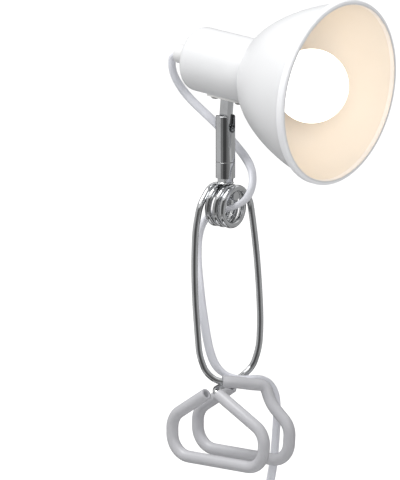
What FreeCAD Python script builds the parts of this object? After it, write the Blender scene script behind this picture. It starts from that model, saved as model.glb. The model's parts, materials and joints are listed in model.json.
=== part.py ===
"""Clip-on reading lamp: a bell shade on a swivelling barrel, carried by a sprung wire clip.

Units are millimetres. +Z is up, +X runs along the edge of the board that the clip holds, which is also
the way the shade faces, and -Y is the front of the board. The origin is on the board's top edge, midway
between the two jaws.
"""

import FreeCAD
import Part
import math
import os

V = FreeCAD.Vector
X_AXIS, Y_AXIS, Z_AXIS = V(1, 0, 0), V(0, 1, 0), V(0, 0, 1)

# clip
wire_d = 4.0
board_thickness = 18.0
sleeve_wall = 1.55
sleeve_grip_gap = 0.2
sleeve_overhang = 5.0
coil_height = 116.0
coil_mean_r = 11.65
coil_pitch_in_wires = 1.175
coil_gap = 2.4
coil_exit_angle = 45.0

# stem
stud_r = 2.0
stud_flat = 2.0
tee_bar_r = 2.8
tee_bar_length = 17.0
saddle_r = 5.2
saddle_thickness = 1.4
nut_flats = 9.0
nut_thickness = 2.2
barrel_r = 6.0
barrel_top_round = 1.0
lower_barrel_length = 10.1
upper_barrel_length = 28.7
swivel_washer_thickness = 0.3
swivel_washer_r = 5.5
spindle_r = 2.5
spindle_depth = 3.8
spindle_reach = 7.4
groove_depth = 0.8
groove_width = 2.2
grub_r = 1.0
grub_recess = 0.3
slot_width = 6.6
slot_depth = 10.4
pivot_below_top = 4.9
pivot_pin_r = 1.6
friction_washer_thickness = 0.5

# head
head_tilt = 5.0
head_rise = 36.0
tongue_width = 6.0
plate_length = 24.0
plate_width = 10.0
plate_thickness = 1.2
plate_screw_offset = 9.2
plate_screw_r = 1.4
plate_screw_length = 4.6
screw_head_r = 2.5
screw_head_height = 1.5
plate_nut_r = 2.6
plate_nut_thickness = 1.95
plate_nut_lift = 0.25
cup_r = 20.0
cup_wall = 1.0
cup_length = 48.6
cup_front = 23.1
cup_edge_r = 5.0
rim_r = 57.0
bell_length = 61.9
bell_wall = 1.0
bell_flank = 1.42
bell_throat = 0.664
bead_length = 5.0
bead_thickness = 2.2
holder_r = 14.0
holder_flange_r = 17.0
holder_flange_thickness = 1.5
holder_wall = 2.0
holder_front = 31.5
holder_back = -14.0
holder_floor_front = 11.5
holder_floor_thickness = 6.4
shell_bore_r = 7.1
shell_wall = 0.7
contact_r = 3.2
contact_thickness = 0.8
terminal_offset = 7.45
terminal_stem_r = 1.6
terminal_plate_thickness = 0.8
terminal_plate_width = 4.4
terminal_plate_up = 2.5
terminal_plate_down = 5.5
terminal_screw_r = 1.25
terminal_screw_head_r = 2.0
terminal_screw_head_height = 1.2
holder_end_thickness = 4.0
nipple_r = 5.0
nipple_bore_r = 3.4
nipple_nut_thickness = 3.0
nipple_nut_wall = 3.0
gland_r = 6.5
gland_edge_round = 1.0
gland_screw_r = 1.5
gland_length = 14.7
gland_grip_length = 7.5
shade_ring_r = 18.0
shade_ring_length = 5.0

# bulb
globe_r = 22.5
globe_wall = 1.0
bulb_centre_reach = 51.0
cap_r = 6.8
cap_wall = 0.5
cap_length = 17.0
insulator_length = 1.5
insulator_r = 3.2
tip_r = 2.4
tip_length = 0.9
collar_neck_r = 14.2
collar_wall = 1.4
led_board_r = 12.0
led_board_thickness = 1.5

# cord, switch and plug
cord_d = 4.5
core_d = 1.8
hank_length = 80.0
hank_width = 38.0
hank_thickness = 11.4
tie_width = 6.0
tie_wall = 1.2
switch_length = 52.0
switch_width = 22.0
switch_thickness = 14.0
switch_wall = 1.6
switch_corner_r = 4.0
switch_post_r = 2.4
switch_post_in_x = 4.6
switch_post_in_z = 5.2
switch_screw_r = 1.0
switch_screw_head_r = 1.9
switch_screw_sink = 1.2
switch_screw_reach = 3.6
switch_contact_width = 4.0
switch_contact_length = 7.0
switch_contact_offset = 8.0
switch_contact_thickness = 1.2
rocker_length = 17.0
rocker_width = 10.0
rocker_swing = 12.0
rocker_pivot_depth = 3.4
rocker_rise = 5.2
rocker_root = 1.2
rocker_dish_r = 30.0
rocker_dish_lift = 3.2
rocker_pin_r = 1.2
rocker_pin_reach = 1.6
plug_length = 34.0
plug_width = 26.0
plug_thickness = 13.7
plug_edge_round = 2.4
plug_waist_in = 5.0
plug_shoulder_share = 0.55
plug_face_in = 1.4
plug_relief_length = 20.0
plug_relief_root = 2.0
plug_relief_r = (4.6, 3.3)
plug_cord_depth = 4.0
pin_r = 2.0
pin_tip_round = 1.2
pin_length = 19.0
pin_sleeve_r = 1.7
pin_sleeve_length = 10.0
pin_root_r = 1.2
pin_root_length = 6.0
pin_spacing = 18.6
cord_in_case = 3.0

# clearances
thread_gap = 0.05
running_gap = 0.08
seat_gap = 0.05
cord_gap = 0.2
moving_gap = 0.4

# worked-out places
coil_inner_x = coil_gap / 2 + wire_d / 2
coil_outer_x = coil_inner_x + wire_d * coil_pitch_in_wires
sleeve_bore_r = wire_d / 2 + sleeve_grip_gap
sleeve_r = sleeve_bore_r + sleeve_wall
jaw_y = board_thickness / 2 + sleeve_r
coil_top = coil_height + coil_mean_r + wire_d / 2
saddle_z = coil_top + seat_gap
nut_z = saddle_z + saddle_thickness
lower_barrel_z = nut_z + nut_thickness
upper_barrel_z = lower_barrel_z + lower_barrel_length + swivel_washer_thickness
barrel_top = upper_barrel_z + upper_barrel_length
pivot_z = barrel_top - pivot_below_top
slot_bottom = barrel_top - slot_depth
axis_z = pivot_z + head_rise
cup_back = cup_front - cup_length
gland_end = cup_back - gland_length
contact_face = holder_floor_front + contact_thickness
bulb_centre = contact_face + bulb_centre_reach

os.makedirs("parts", exist_ok=True)


def save(name, *solids):
    """Write one node, and say how many solids it holds."""
    solids = [piece for shape in solids for piece in shape.Solids]
    shape = solids[0] if len(solids) == 1 else Part.Compound(solids)
    shape.exportStep("parts/" + name + ".step")
    print(f"{name:24s} solids {len(solids)}  volume {shape.Volume:10.1f}  valid {shape.isValid()}")


def rod(r, start, end):
    return Part.makeCylinder(r, (end - start).Length, start, end - start)


def pipe(r_outer, r_inner, start, end):
    return rod(r_outer, start, end).cut(rod(r_inner, start, end))


def along_x(r, x0, x1, y=0.0, z=axis_z):
    """A round bar parallel to the head's axis, given from that axis unless a height is named."""
    return rod(r, V(x0, y, z), V(x1, y, z))


def block(x0, x1, y0, y1, z0, z1):
    return Part.makeBox(x1 - x0, y1 - y0, z1 - z0, V(x0, y0, z0))


def bent(points, radii):
    """Edges of straight runs joined by tangent arcs, with one radius for each inner point."""
    edges = []
    here = points[0]
    for before, corner, after, radius in zip(points, points[1:], points[2:], radii):
        arrive = (corner - before).normalize()
        leave = (after - corner).normalize()
        half_turn = arrive.getAngle(leave) / 2
        back = radius * math.tan(half_turn)
        start = corner - arrive * back
        end = corner + leave * back
        middle_way = (leave - arrive).normalize()
        middle = corner + middle_way * (radius / math.cos(half_turn) - radius)
        edges.append(Part.LineSegment(here, start).toShape())
        edges.append(Part.Arc(start, middle, end).toShape())
        here = end
    edges.append(Part.LineSegment(here, points[-1]).toShape())
    return edges


def easy_radii(points, share=0.45):
    """The largest bend radii that the runs beside each inner point allow."""
    radii = []
    for before, corner, after in zip(points, points[1:], points[2:]):
        arrive, leave = corner - before, after - corner
        half_turn = arrive.getAngle(leave) / 2
        radii.append(share * min(arrive.Length, leave.Length) / math.tan(half_turn))
    return radii


def swept(edges, r):
    """A round bar of radius r along a tangent chain of edges."""
    wire = Part.Wire(edges)
    start = wire.OrderedVertexes[0].Point
    first = wire.OrderedEdges[0]
    direction = first.tangentAt(first.FirstParameter)
    if (first.valueAt(first.FirstParameter) - start).Length > 1e-6:
        direction = first.tangentAt(first.LastParameter) * -1
    ring = Part.Wire(Part.Circle(start, direction, r).toShape())
    solid = wire.makePipeShell([ring], True, False)
    return solid


def tilted(shape):
    """The head at rest leans a little below level, about its pivot."""
    turned = shape.copy()
    turned.rotate(V(0, 0, pivot_z), Y_AXIS, head_tilt)
    return turned


def tilted_point(point):
    turn = FreeCAD.Rotation(Y_AXIS, head_tilt)
    centre = V(0, 0, pivot_z)
    return centre + turn.multVec(point - centre)


def revolved(outline):
    """A solid of revolution about the head's axis, from edges that close a half section in XZ."""
    face = Part.Face(Part.Wire(outline))
    return face.revolve(V(0, 0, axis_z), X_AXIS, 360)


# the spring wire


def coil_point(angle, x):
    """A point on the coil; angle 0 is the top and grows towards the front."""
    turn = math.radians(angle)
    return V(x, -coil_mean_r * math.sin(turn), coil_height + coil_mean_r * math.cos(turn))


def half_turn(x_from, x_to, from_top):
    """Half a turn between the top and the bottom: an arc that leaves and arrives square to X."""
    start = coil_point(0 if from_top else 180, x_from)
    end = coil_point(180 if from_top else 0, x_to)
    side = 1 if from_top else -1
    radius = (end - start).Length / 2
    middle = (start + end) * 0.5 + Y_AXIS * (side * radius)
    return Part.Arc(start, middle, end).toShape()


def spring_coil():
    tops = [-coil_outer_x, -coil_inner_x, coil_inner_x, coil_outer_x]
    front = coil_point(coil_exit_angle, tops[0])
    back = coil_point(-coil_exit_angle, tops[-1])
    lead_in = Part.Arc(front, coil_point(coil_exit_angle / 2, tops[0]), coil_point(0, tops[0]))
    lead_out = Part.Arc(coil_point(0, tops[-1]), coil_point(-coil_exit_angle / 2, tops[-1]), back)
    edges = [lead_in.toShape()]
    for x_from, x_to in zip(tops, tops[1:]):
        edges.append(half_turn(x_from, (x_from + x_to) / 2, True))
        edges.append(half_turn((x_from + x_to) / 2, x_to, False))
    edges.append(lead_out.toShape())
    return swept(edges, wire_d / 2)


jaw_corners = [(40.6, -20.0), (39.2, -42.6), (-31.6, -43.0), (-31.6, -19.3), (-4.6, -1.2)]
jaw_radii = [12.0, 12.5, 13.0, 13.0]


def arm_start(side, run):
    """Where the coil ends, and a run straight on from there."""
    turn = math.radians(coil_exit_angle)
    leave = coil_point(side * coil_exit_angle, -side * coil_outer_x)
    return [leave, leave + V(0, -side * math.cos(turn), -math.sin(turn)) * run]


front_arm_route = arm_start(1, 9.8) + [
    V(-coil_outer_x, -19.6, 103),
    V(-coil_outer_x, -20.8, 82),
    V(-coil_outer_x, -20.0, 60),
    V(-7.4, -18.2, 38),
    V(-6.2, -17.9, 24),
    V(-3.4, -15.4, 13.4),
    V(1.6, -11.2, 7.6),
    V(11, -0.8, 6.2),
    V(16.5, 6.3, 4.4),
    V(21.2, 12.9, 3.6),
    V(25.8, jaw_y, -7.6),
]
front_arm_bare_runs = 8

rear_arm_route = arm_start(-1, 8.7) + [
    V(coil_outer_x, 17.8, 102.5),
    V(coil_outer_x, 21.4, 82),
    V(coil_outer_x, 23.9, 60),
    V(coil_outer_x, 25.2, 40),
    V(6.9, 25.2, 23.5),
    V(3.6, 23.0, 11.0),
    V(0.6, 15.0, 5.2),
    V(-1.2, 5.8, 3.0),
    V(-1.2, -3.4, 2.2),
    V(0.2, -9.6, 2.0),
    V(2.6, -jaw_y, 1.1),
]
rear_arm_bare_runs = 12


def clip_arm(name, jaw_name, route, bare_runs, side):
    """An arm of bare wire that crosses the board and runs on in a sleeve round the jaw's loop."""
    points = route + [V(x, side * jaw_y, z) for x, z in jaw_corners]
    radii = easy_radii(points[: len(route) + 1]) + jaw_radii
    whole = bent(points, radii)
    back = (points[-2] - points[-1]).normalize() * sleeve_overhang
    wire = bent(points[:-1] + [points[-1] + back], radii)
    covered = whole[2 * bare_runs:]
    save(name, swept(wire, wire_d / 2))
    save(jaw_name, swept(covered, sleeve_r).cut(swept(covered, sleeve_bore_r)))


def clip():
    save("spring_coil", spring_coil())
    clip_arm("front_arm_wire", "rear_jaw_sleeve", front_arm_route, front_arm_bare_runs, 1)
    clip_arm("rear_arm_wire", "front_jaw_sleeve", rear_arm_route, rear_arm_bare_runs, -1)


# the stem between the coil and the head


def hexagon(flats, thickness, z0, bore_r):
    corner = flats / math.sqrt(3)
    ring = [V(corner * math.cos(math.radians(60 * i)), corner * math.sin(math.radians(60 * i)), z0)
            for i in range(7)]
    prism = Part.Face(Part.makePolygon(ring)).extrude(Z_AXIS * thickness)
    return prism.cut(rod(bore_r, V(0, 0, z0), V(0, 0, z0 + thickness)))


def on_z(r, z0, z1):
    return rod(r, V(0, 0, z0), V(0, 0, z1))


def stem():
    bar_z = coil_height + coil_mean_r - wire_d / 2 - seat_gap - tee_bar_r
    bar = along_x(tee_bar_r, -tee_bar_length / 2, tee_bar_length / 2, 0, bar_z)
    stud_top = nut_z + nut_thickness + lower_barrel_length - spindle_depth - seat_gap
    flat = on_z(stud_r, bar_z, saddle_z).common(
        block(-stud_flat / 2, stud_flat / 2, -stud_r, stud_r, bar_z, saddle_z))
    save("tee_stud", bar.fuse([flat, on_z(stud_r, saddle_z, stud_top)]).removeSplitter())

    hole_r = stud_r + thread_gap
    save("saddle_washer", pipe(saddle_r, hole_r, V(0, 0, saddle_z), V(0, 0, nut_z)))
    save("lock_nut", hexagon(nut_flats, nut_thickness, nut_z, hole_r))

    lower_top = lower_barrel_z + lower_barrel_length
    lower = on_z(barrel_r, lower_barrel_z, lower_top)
    lower = lower.cut(on_z(hole_r, lower_barrel_z, lower_top))
    lower = lower.cut(on_z(spindle_r, lower_top - spindle_depth, lower_top))
    save("lower_barrel", lower)

    spindle_top = upper_barrel_z + spindle_reach
    groove_z = upper_barrel_z + spindle_reach / 2
    spindle = on_z(spindle_r, lower_top - spindle_depth, spindle_top)
    groove = pipe(spindle_r + 1, spindle_r - groove_depth,
                  V(0, 0, groove_z - groove_width / 2), V(0, 0, groove_z + groove_width / 2))
    save("swivel_spindle", spindle.cut(groove))
    save("swivel_washer", pipe(swivel_washer_r, spindle_r + running_gap,
                               V(0, 0, lower_top), V(0, 0, upper_barrel_z)))

    upper = on_z(barrel_r, upper_barrel_z, barrel_top)
    top_edge = [edge for edge in upper.Edges
                if edge.Closed and abs(edge.CenterOfMass.z - barrel_top) < 1e-6]
    upper = upper.makeFillet(barrel_top_round, top_edge)
    round_z = slot_bottom + slot_width / 2
    slot = block(-barrel_r, barrel_r, -slot_width / 2, slot_width / 2, round_z, barrel_top + 1)
    slot = slot.fuse(along_x(slot_width / 2, -barrel_r, barrel_r, 0, round_z))
    grub_hole_r = grub_r + thread_gap
    upper = upper.cut(slot)
    upper = upper.cut(on_z(spindle_r + running_gap, upper_barrel_z, spindle_top + moving_gap))
    upper = upper.cut(rod(grub_hole_r, V(0, 0, groove_z), V(0, barrel_r + 1, groove_z)))
    pin_hole = rod(pivot_pin_r, V(0, -barrel_r, pivot_z), V(0, barrel_r, pivot_z))
    save("upper_barrel", upper.cut(pin_hole))
    save("swivel_grub_screw", rod(grub_r, V(0, spindle_r - groove_depth + moving_gap, groove_z),
                                  V(0, barrel_r - grub_recess, groove_z)))

    flush = on_z(barrel_r, slot_bottom, barrel_top)
    save("tilt_pin", pin_hole.common(flush))
    washer_r = pivot_z - round_z
    outer_y, inner_y = slot_width / 2, slot_width / 2 - friction_washer_thickness
    save("friction_washers", *[
        pipe(washer_r, pivot_pin_r + running_gap,
             V(0, side * inner_y, pivot_z), V(0, side * outer_y, pivot_z)) for side in (-1, 1)])


# the head


def bell_radius(share):
    """The bell's outer radius at a share of its length: a bowl that rises square from the cup."""
    grown = 1 - (1 - share) ** bell_flank
    return cup_r + (rim_r - bead_thickness / 2 - cup_r) * grown ** bell_throat


def bell_points(inset, count=11):
    """Points down the bell's flank, closer where it turns fast, set in square to the flank."""
    points = []
    for i in range(count):
        share = (i / (count - 1)) ** 2
        step = 1e-4
        rise = bell_radius(min(share + step, 1)) - bell_radius(max(share - step, 0))
        run = bell_length * (min(share + step, 1) - max(share - step, 0))
        lean = math.hypot(rise, run)
        points.append(V(cup_front + share * bell_length + inset * rise / lean, 0,
                        axis_z + bell_radius(share) - inset * run / lean))
    return points


def spline(points):
    curve = Part.BSplineCurve()
    curve.interpolate(points)
    return curve.toShape()


def shade():
    outer, inner = bell_points(0), bell_points(bell_wall)
    hole_r = holder_r + seat_gap
    flange = cup_front + bell_wall
    inner[0] = V(flange, 0, inner[0].z)
    back = [inner[0], V(flange, 0, axis_z + hole_r), V(cup_front, 0, axis_z + hole_r), outer[0]]
    edges = [spline(outer), spline(inner), Part.LineSegment(outer[-1], inner[-1]).toShape()]
    edges += [Part.LineSegment(a, b).toShape() for a, b in zip(back, back[1:])]
    bell = revolved(Part.__sortEdges__(edges))
    end = cup_front + bell_length
    bead = pipe(rim_r, rim_r - bead_thickness, V(end - bead_length, 0, axis_z), V(end, 0, axis_z))
    bead = bead.makeFillet(bead_thickness / 2 - 0.05, [edge for edge in bead.Edges if edge.Closed])
    save("shade", tilted(bell.fuse(bead)))
    save("shade_ring", tilted(pipe(shade_ring_r, hole_r, V(flange, 0, axis_z),
                                   V(flange + shade_ring_length, 0, axis_z))))


def plate_screw_places():
    return [-plate_screw_offset, plate_screw_offset]


def lamp_cup():
    outside = along_x(cup_r, cup_back, cup_front)
    outside = outside.makeFillet(cup_edge_r, [edge for edge in outside.Edges if edge.Closed
                                              and abs(edge.CenterOfMass.x - cup_back) < 1e-6])
    inside = along_x(cup_r - cup_wall, cup_back + cup_wall, cup_front + 1)
    inside = inside.makeFillet(cup_edge_r - cup_wall,
                               [edge for edge in inside.Edges if edge.Closed
                                and abs(edge.CenterOfMass.x - cup_back - cup_wall) < 1e-6])
    cup = outside.cut(inside).cut(along_x(nipple_r + thread_gap, cup_back - 1, cup_back + 3))
    below = axis_z - cup_r - plate_thickness
    for x in plate_screw_places():
        cup = cup.cut(rod(plate_screw_r + thread_gap, V(x, 0, below), V(x, 0, axis_z)))
    save("lamp_cup", tilted(cup))


def neck_bracket():
    ring = pipe(cup_r + plate_thickness, cup_r + seat_gap, V(-plate_length / 2, 0, axis_z),
                V(plate_length / 2, 0, axis_z))
    half = plate_width / 2
    plate = ring.common(block(-plate_length, plate_length, -half, half, pivot_z, axis_z))
    half_x = tongue_width / 2
    half_y = slot_width / 2 - friction_washer_thickness
    tongue = block(-half_x, half_x, -half_y, half_y, pivot_z, axis_z - cup_r)
    tongue = tongue.cut(along_x(cup_r + seat_gap, -cup_r, cup_r))
    tongue = tongue.fuse(rod(half_x, V(0, -half_y, pivot_z), V(0, half_y, pivot_z)))
    bracket = plate.fuse(tongue).removeSplitter()
    bracket = bracket.cut(rod(pivot_pin_r + running_gap, V(0, -cup_r, pivot_z), V(0, cup_r, pivot_z)))

    under = axis_z - cup_r - plate_thickness
    nut_bottom = axis_z - cup_r + cup_wall + plate_nut_lift
    screws, nuts = [], []
    for x in plate_screw_places():
        bracket = bracket.cut(rod(plate_screw_r + thread_gap, V(x, 0, under - 1), V(x, 0, axis_z)))
        head = rod(screw_head_r, V(x, 0, under - screw_head_height), V(x, 0, under))
        shank = rod(plate_screw_r, V(x, 0, under), V(x, 0, under + plate_screw_length))
        screws.append(tilted(head.fuse(shank).removeSplitter()))
        nuts.append(tilted(pipe(plate_nut_r, plate_screw_r + thread_gap, V(x, 0, nut_bottom),
                                V(x, 0, nut_bottom + plate_nut_thickness))))
    save("neck_bracket", tilted(bracket))
    save("bracket_screws", *screws)
    save("bracket_nuts", *nuts)


def lampholder():
    front_face = cup_front
    body = along_x(holder_r, holder_back, holder_front)
    body = body.fuse(along_x(holder_flange_r, front_face - holder_flange_thickness, front_face))
    body = body.removeSplitter()
    cavity_end = holder_floor_front - holder_floor_thickness
    body = body.cut(along_x(holder_r - holder_wall, holder_back + holder_end_thickness, cavity_end))
    body = body.cut(along_x(shell_bore_r + shell_wall + thread_gap, holder_floor_front, holder_front))
    body = body.cut(along_x(nipple_r + thread_gap, holder_back, holder_back + holder_end_thickness))
    hole_r = terminal_stem_r + thread_gap
    plate_front = cavity_end - 3
    plate_back = plate_front - terminal_plate_thickness
    shell_back = contact_face + 1.2
    for y, hole_end in ((0, holder_floor_front), (terminal_offset, shell_back + 0.4)):
        body = body.cut(along_x(hole_r, cavity_end, hole_end, y))
    save("lampholder_body", tilted(body))

    def terminal(y, stem_front):
        half = terminal_plate_width / 2
        plate = block(plate_back, plate_front, y - half, y + half,
                      axis_z - terminal_plate_down, axis_z + terminal_plate_up)
        leg = plate.fuse(along_x(terminal_stem_r, plate_front, stem_front, y)).removeSplitter()
        return leg.cut(along_x(terminal_screw_r + thread_gap, plate_back, plate_front + 3, y))

    contact = terminal(0, contact_face - 0.4)
    contact = contact.fuse(along_x(contact_r, holder_floor_front, contact_face)).removeSplitter()
    save("centre_contact", tilted(contact))
    shell = along_x(shell_bore_r + shell_wall, shell_back, holder_front - 2)
    shell = shell.fuse(terminal(terminal_offset, shell_back + 0.2))
    shell = shell.cut(along_x(shell_bore_r, contact_face, holder_front))
    save("thread_shell", tilted(shell.Solids[0]))
    screws = []
    for y in (0, terminal_offset):
        head = along_x(terminal_screw_head_r, plate_back - terminal_screw_head_height, plate_back, y)
        screws.append(tilted(head.fuse(along_x(terminal_screw_r, plate_back, plate_front + 2.6, y))))
    save("terminal_screws", *[screw.removeSplitter() for screw in screws])

    nipple_back = cup_back - gland_grip_length
    save("threaded_nipple", tilted(pipe(nipple_r, nipple_bore_r, V(nipple_back, 0, axis_z),
                                        V(holder_back + holder_end_thickness, 0, axis_z))))
    nut = pipe(nipple_r + nipple_nut_wall, nipple_r + thread_gap, V(cup_back + cup_wall, 0, axis_z),
               V(cup_back + cup_wall + nipple_nut_thickness, 0, axis_z))
    save("nipple_nut", tilted(nut))
    return plate_back


def gland_and_cores(terminal_x):
    gland = along_x(gland_r, gland_end, cup_back)
    gland = gland.makeFillet(gland_edge_round, [edge for edge in gland.Edges if edge.Closed
                                                and abs(edge.CenterOfMass.x - gland_end) < 1e-6])
    gland = gland.cut(along_x(nipple_r + thread_gap, cup_back - gland_grip_length, cup_back))
    gland = gland.cut(along_x(cord_d / 2 + cord_gap, gland_end, cup_back))
    screw_x = (gland_end + cup_back - gland_grip_length) / 2
    hole = rod(gland_screw_r + thread_gap, V(screw_x, 0, axis_z), V(screw_x, 0, axis_z - gland_r))
    save("cord_gland", tilted(gland.cut(hole)))
    save("gland_screw", tilted(rod(gland_screw_r, V(screw_x, 0, axis_z - cord_d / 2 - 0.1),
                                   V(screw_x, 0, axis_z - gland_r + 0.4))))
    cores = []
    start_x = cup_back - gland_grip_length + 0.3
    for side, y in ((-1, 0), (1, terminal_offset)):
        points = [V(start_x, side * 1.1, axis_z), V(holder_back + 6, side * 1.2, axis_z),
                  V(terminal_x - 3.5, y, axis_z - 4.0), V(terminal_x, y, axis_z - 4.0)]
        cores.append(tilted(swept(bent(points, easy_radii(points)), core_d / 2)))
    save("lead_cores", *cores)


def bulb():
    cap_back = contact_face + tip_length + insulator_length
    cap_front = cap_back + cap_length
    tip = along_x(tip_r, contact_face, contact_face + tip_length)
    save("bulb_tip_contact", tilted(tip))
    insulator = Part.makeCone(insulator_r, cap_r - 0.6, insulator_length,
                              V(contact_face + tip_length, 0, axis_z), X_AXIS)
    save("bulb_insulator", tilted(insulator))
    save("bulb_cap", tilted(pipe(cap_r, cap_r - cap_wall, V(cap_back, 0, axis_z),
                                 V(cap_front, 0, axis_z))))

    neck_x = bulb_centre - math.sqrt(globe_r ** 2 - collar_neck_r ** 2)
    ball = Part.makeSphere(globe_r, V(bulb_centre, 0, axis_z))
    hollow = Part.makeSphere(globe_r - globe_wall, V(bulb_centre, 0, axis_z))
    behind = block(bulb_centre - globe_r - 1, neck_x, -globe_r, globe_r, axis_z - globe_r, axis_z + globe_r)
    save("bulb_globe", tilted(ball.cut(hollow).cut(behind)))
    wide, narrow = collar_neck_r, cap_r + 0.8
    collar = Part.makeCone(narrow, wide, neck_x - cap_front, V(cap_front, 0, axis_z), X_AXIS)
    inside = Part.makeCone(narrow - collar_wall, wide - collar_wall, neck_x - cap_front,
                           V(cap_front, 0, axis_z), X_AXIS)
    board_front = neck_x - 0.1
    board_back = board_front - led_board_thickness
    seat = along_x(led_board_r + seat_gap, board_back, neck_x)
    save("bulb_collar", tilted(collar.cut(inside).cut(seat)))
    save("bulb_led_board", tilted(along_x(led_board_r, board_back, board_front)))


def head():
    shade()
    lamp_cup()
    neck_bracket()
    gland_and_cores(lampholder())
    bulb()


# the cord, its hank, switch and plug

hank_top = -84.0
hank_centre = V(12.0, 31.5, hank_top - hank_length / 2)
tail_start_x = 24.0
tail_x = 54.0
tail_y = hank_centre.y
hank_shoulder = hank_width / 2 - math.sqrt((hank_width / 2) ** 2 - (tail_start_x - hank_centre.x) ** 2)
switch_top = hank_top - 8
plug_top = switch_top - switch_length - 16
cord_start = tilted_point(V(cup_back - gland_grip_length - 0.2, 0, axis_z))
cord_route = [
    cord_start,
    tilted_point(V(gland_end - 4.6, 0, axis_z)),
    V(-43.0, 1.0, 196),
    V(-40.5, 4.5, 186.5),
    V(-35.2, 9.5, 177),
    V(-26, 13, 168.6),
    V(-15.5, 14.6, 160.6),
    V(1.6, 13.4, 148.1),
    V(11.3, 9, 142.5),
    V(18.6, 3.2, 138.0),
    V(22.8, -2, 131.6),
    V(20.4, -4, 123.6),
    V(12.4, -2.6, 118.1),
    V(0, -0.5, 112.9),
    V(-9.8, -0.4, 110.4),
    V(-16.2, -1.2, 104.2),
    V(-17.4, -5.2, 94.6),
    V(-14.6, -9.6, 82),
    V(-11.2, -11.8, 69),
    V(-9.0, -12.2, 55),
    V(-7.0, -12.0, 44),
    V(-5.4, -11.4, 33.5),
    V(-4.0, -9.6, 23.4),
    V(-2.6, -6.2, 14),
    V(0.4, -1.4, 8.0),
    V(6.2, 3.6, 5.6),
    V(9.7, 9.4, 4.8),
    V(11.8, 16.4, 5.6),
    V(12.4, 27, 3.2),
    V(12.4, 35, -6),
    V(12.2, 36.8, -19),
    V(12.0, 35.6, -35),
    V(12.0, 33.2, -51),
    V(12.0, 31.8, -67),
    V(12.0, 31.5, hank_top),
]
cord_parts = {
    "cord_at_head": 6,
    "cord_at_barrel": 13,
    "cord_at_arm": 24,
    "cord_behind_board": None,
}
tail_route = [
    V(tail_start_x, tail_y, hank_top - hank_shoulder),
    V(tail_start_x, tail_y, hank_top + 12.7),
    V((tail_start_x + tail_x) / 2, tail_y, hank_top + 21.3),
    V(tail_x, tail_y, hank_top + 12.7),
    V(tail_x, tail_y, switch_top - switch_wall - cord_in_case),
]
plug_route = [
    V(tail_x, tail_y, switch_top - switch_length + switch_wall + cord_in_case),
    V(tail_x, tail_y, plug_top - plug_cord_depth),
]


def cord_tube(name, edges):
    tube = swept(edges, cord_d / 2)
    length = sum(edge.Length for edge in edges)
    share = tube.Volume / (length * math.pi * cord_d ** 2 / 4)
    print(f"{name}: length {length:.1f}, volume over section times length {share:.4f}")
    save(name, tube)


def cord_runs(route, parts):
    """The cord along a route, parted square at the middle of the straight run that each part ends on."""
    radii = easy_radii(route)
    print("cord bend radii", [round(radius, 1) for radius in radii])
    edges = bent(route, radii)
    for name, last_run in parts.items():
        if last_run is None:
            cord_tube(name, edges)
            continue
        kept = len(edges) - 1 - 2 * (len(route) - 2 - last_run)
        run = edges[kept]
        middle = run.valueAt((run.FirstParameter + run.LastParameter) / 2)
        start, end = run.valueAt(run.FirstParameter), run.valueAt(run.LastParameter)
        cord_tube(name, edges[:kept] + [Part.LineSegment(start, middle).toShape()])
        edges = [Part.LineSegment(middle, end).toShape()] + edges[kept + 1:]


def hank():
    middle_x, middle_y, middle_z = hank_centre
    half_w = hank_width / 2
    y0, y1 = middle_y - hank_thickness / 2, middle_y + hank_thickness / 2
    straight = hank_length / 2 - half_w
    slab = block(middle_x - half_w, middle_x + half_w, y0, y1, middle_z - straight, middle_z + straight)
    for end in (-1, 1):
        z = middle_z + end * straight
        slab = slab.fuse(rod(half_w, V(middle_x, y0, z), V(middle_x, y1, z)))
    slab = slab.removeSplitter()
    save("cord_hank", slab)
    outer = block(middle_x - half_w - tie_wall, middle_x + half_w + tie_wall, y0 - tie_wall,
                  y1 + tie_wall, middle_z - tie_width / 2, middle_z + tie_width / 2)
    save("cord_tie", outer.cut(slab))


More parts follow.
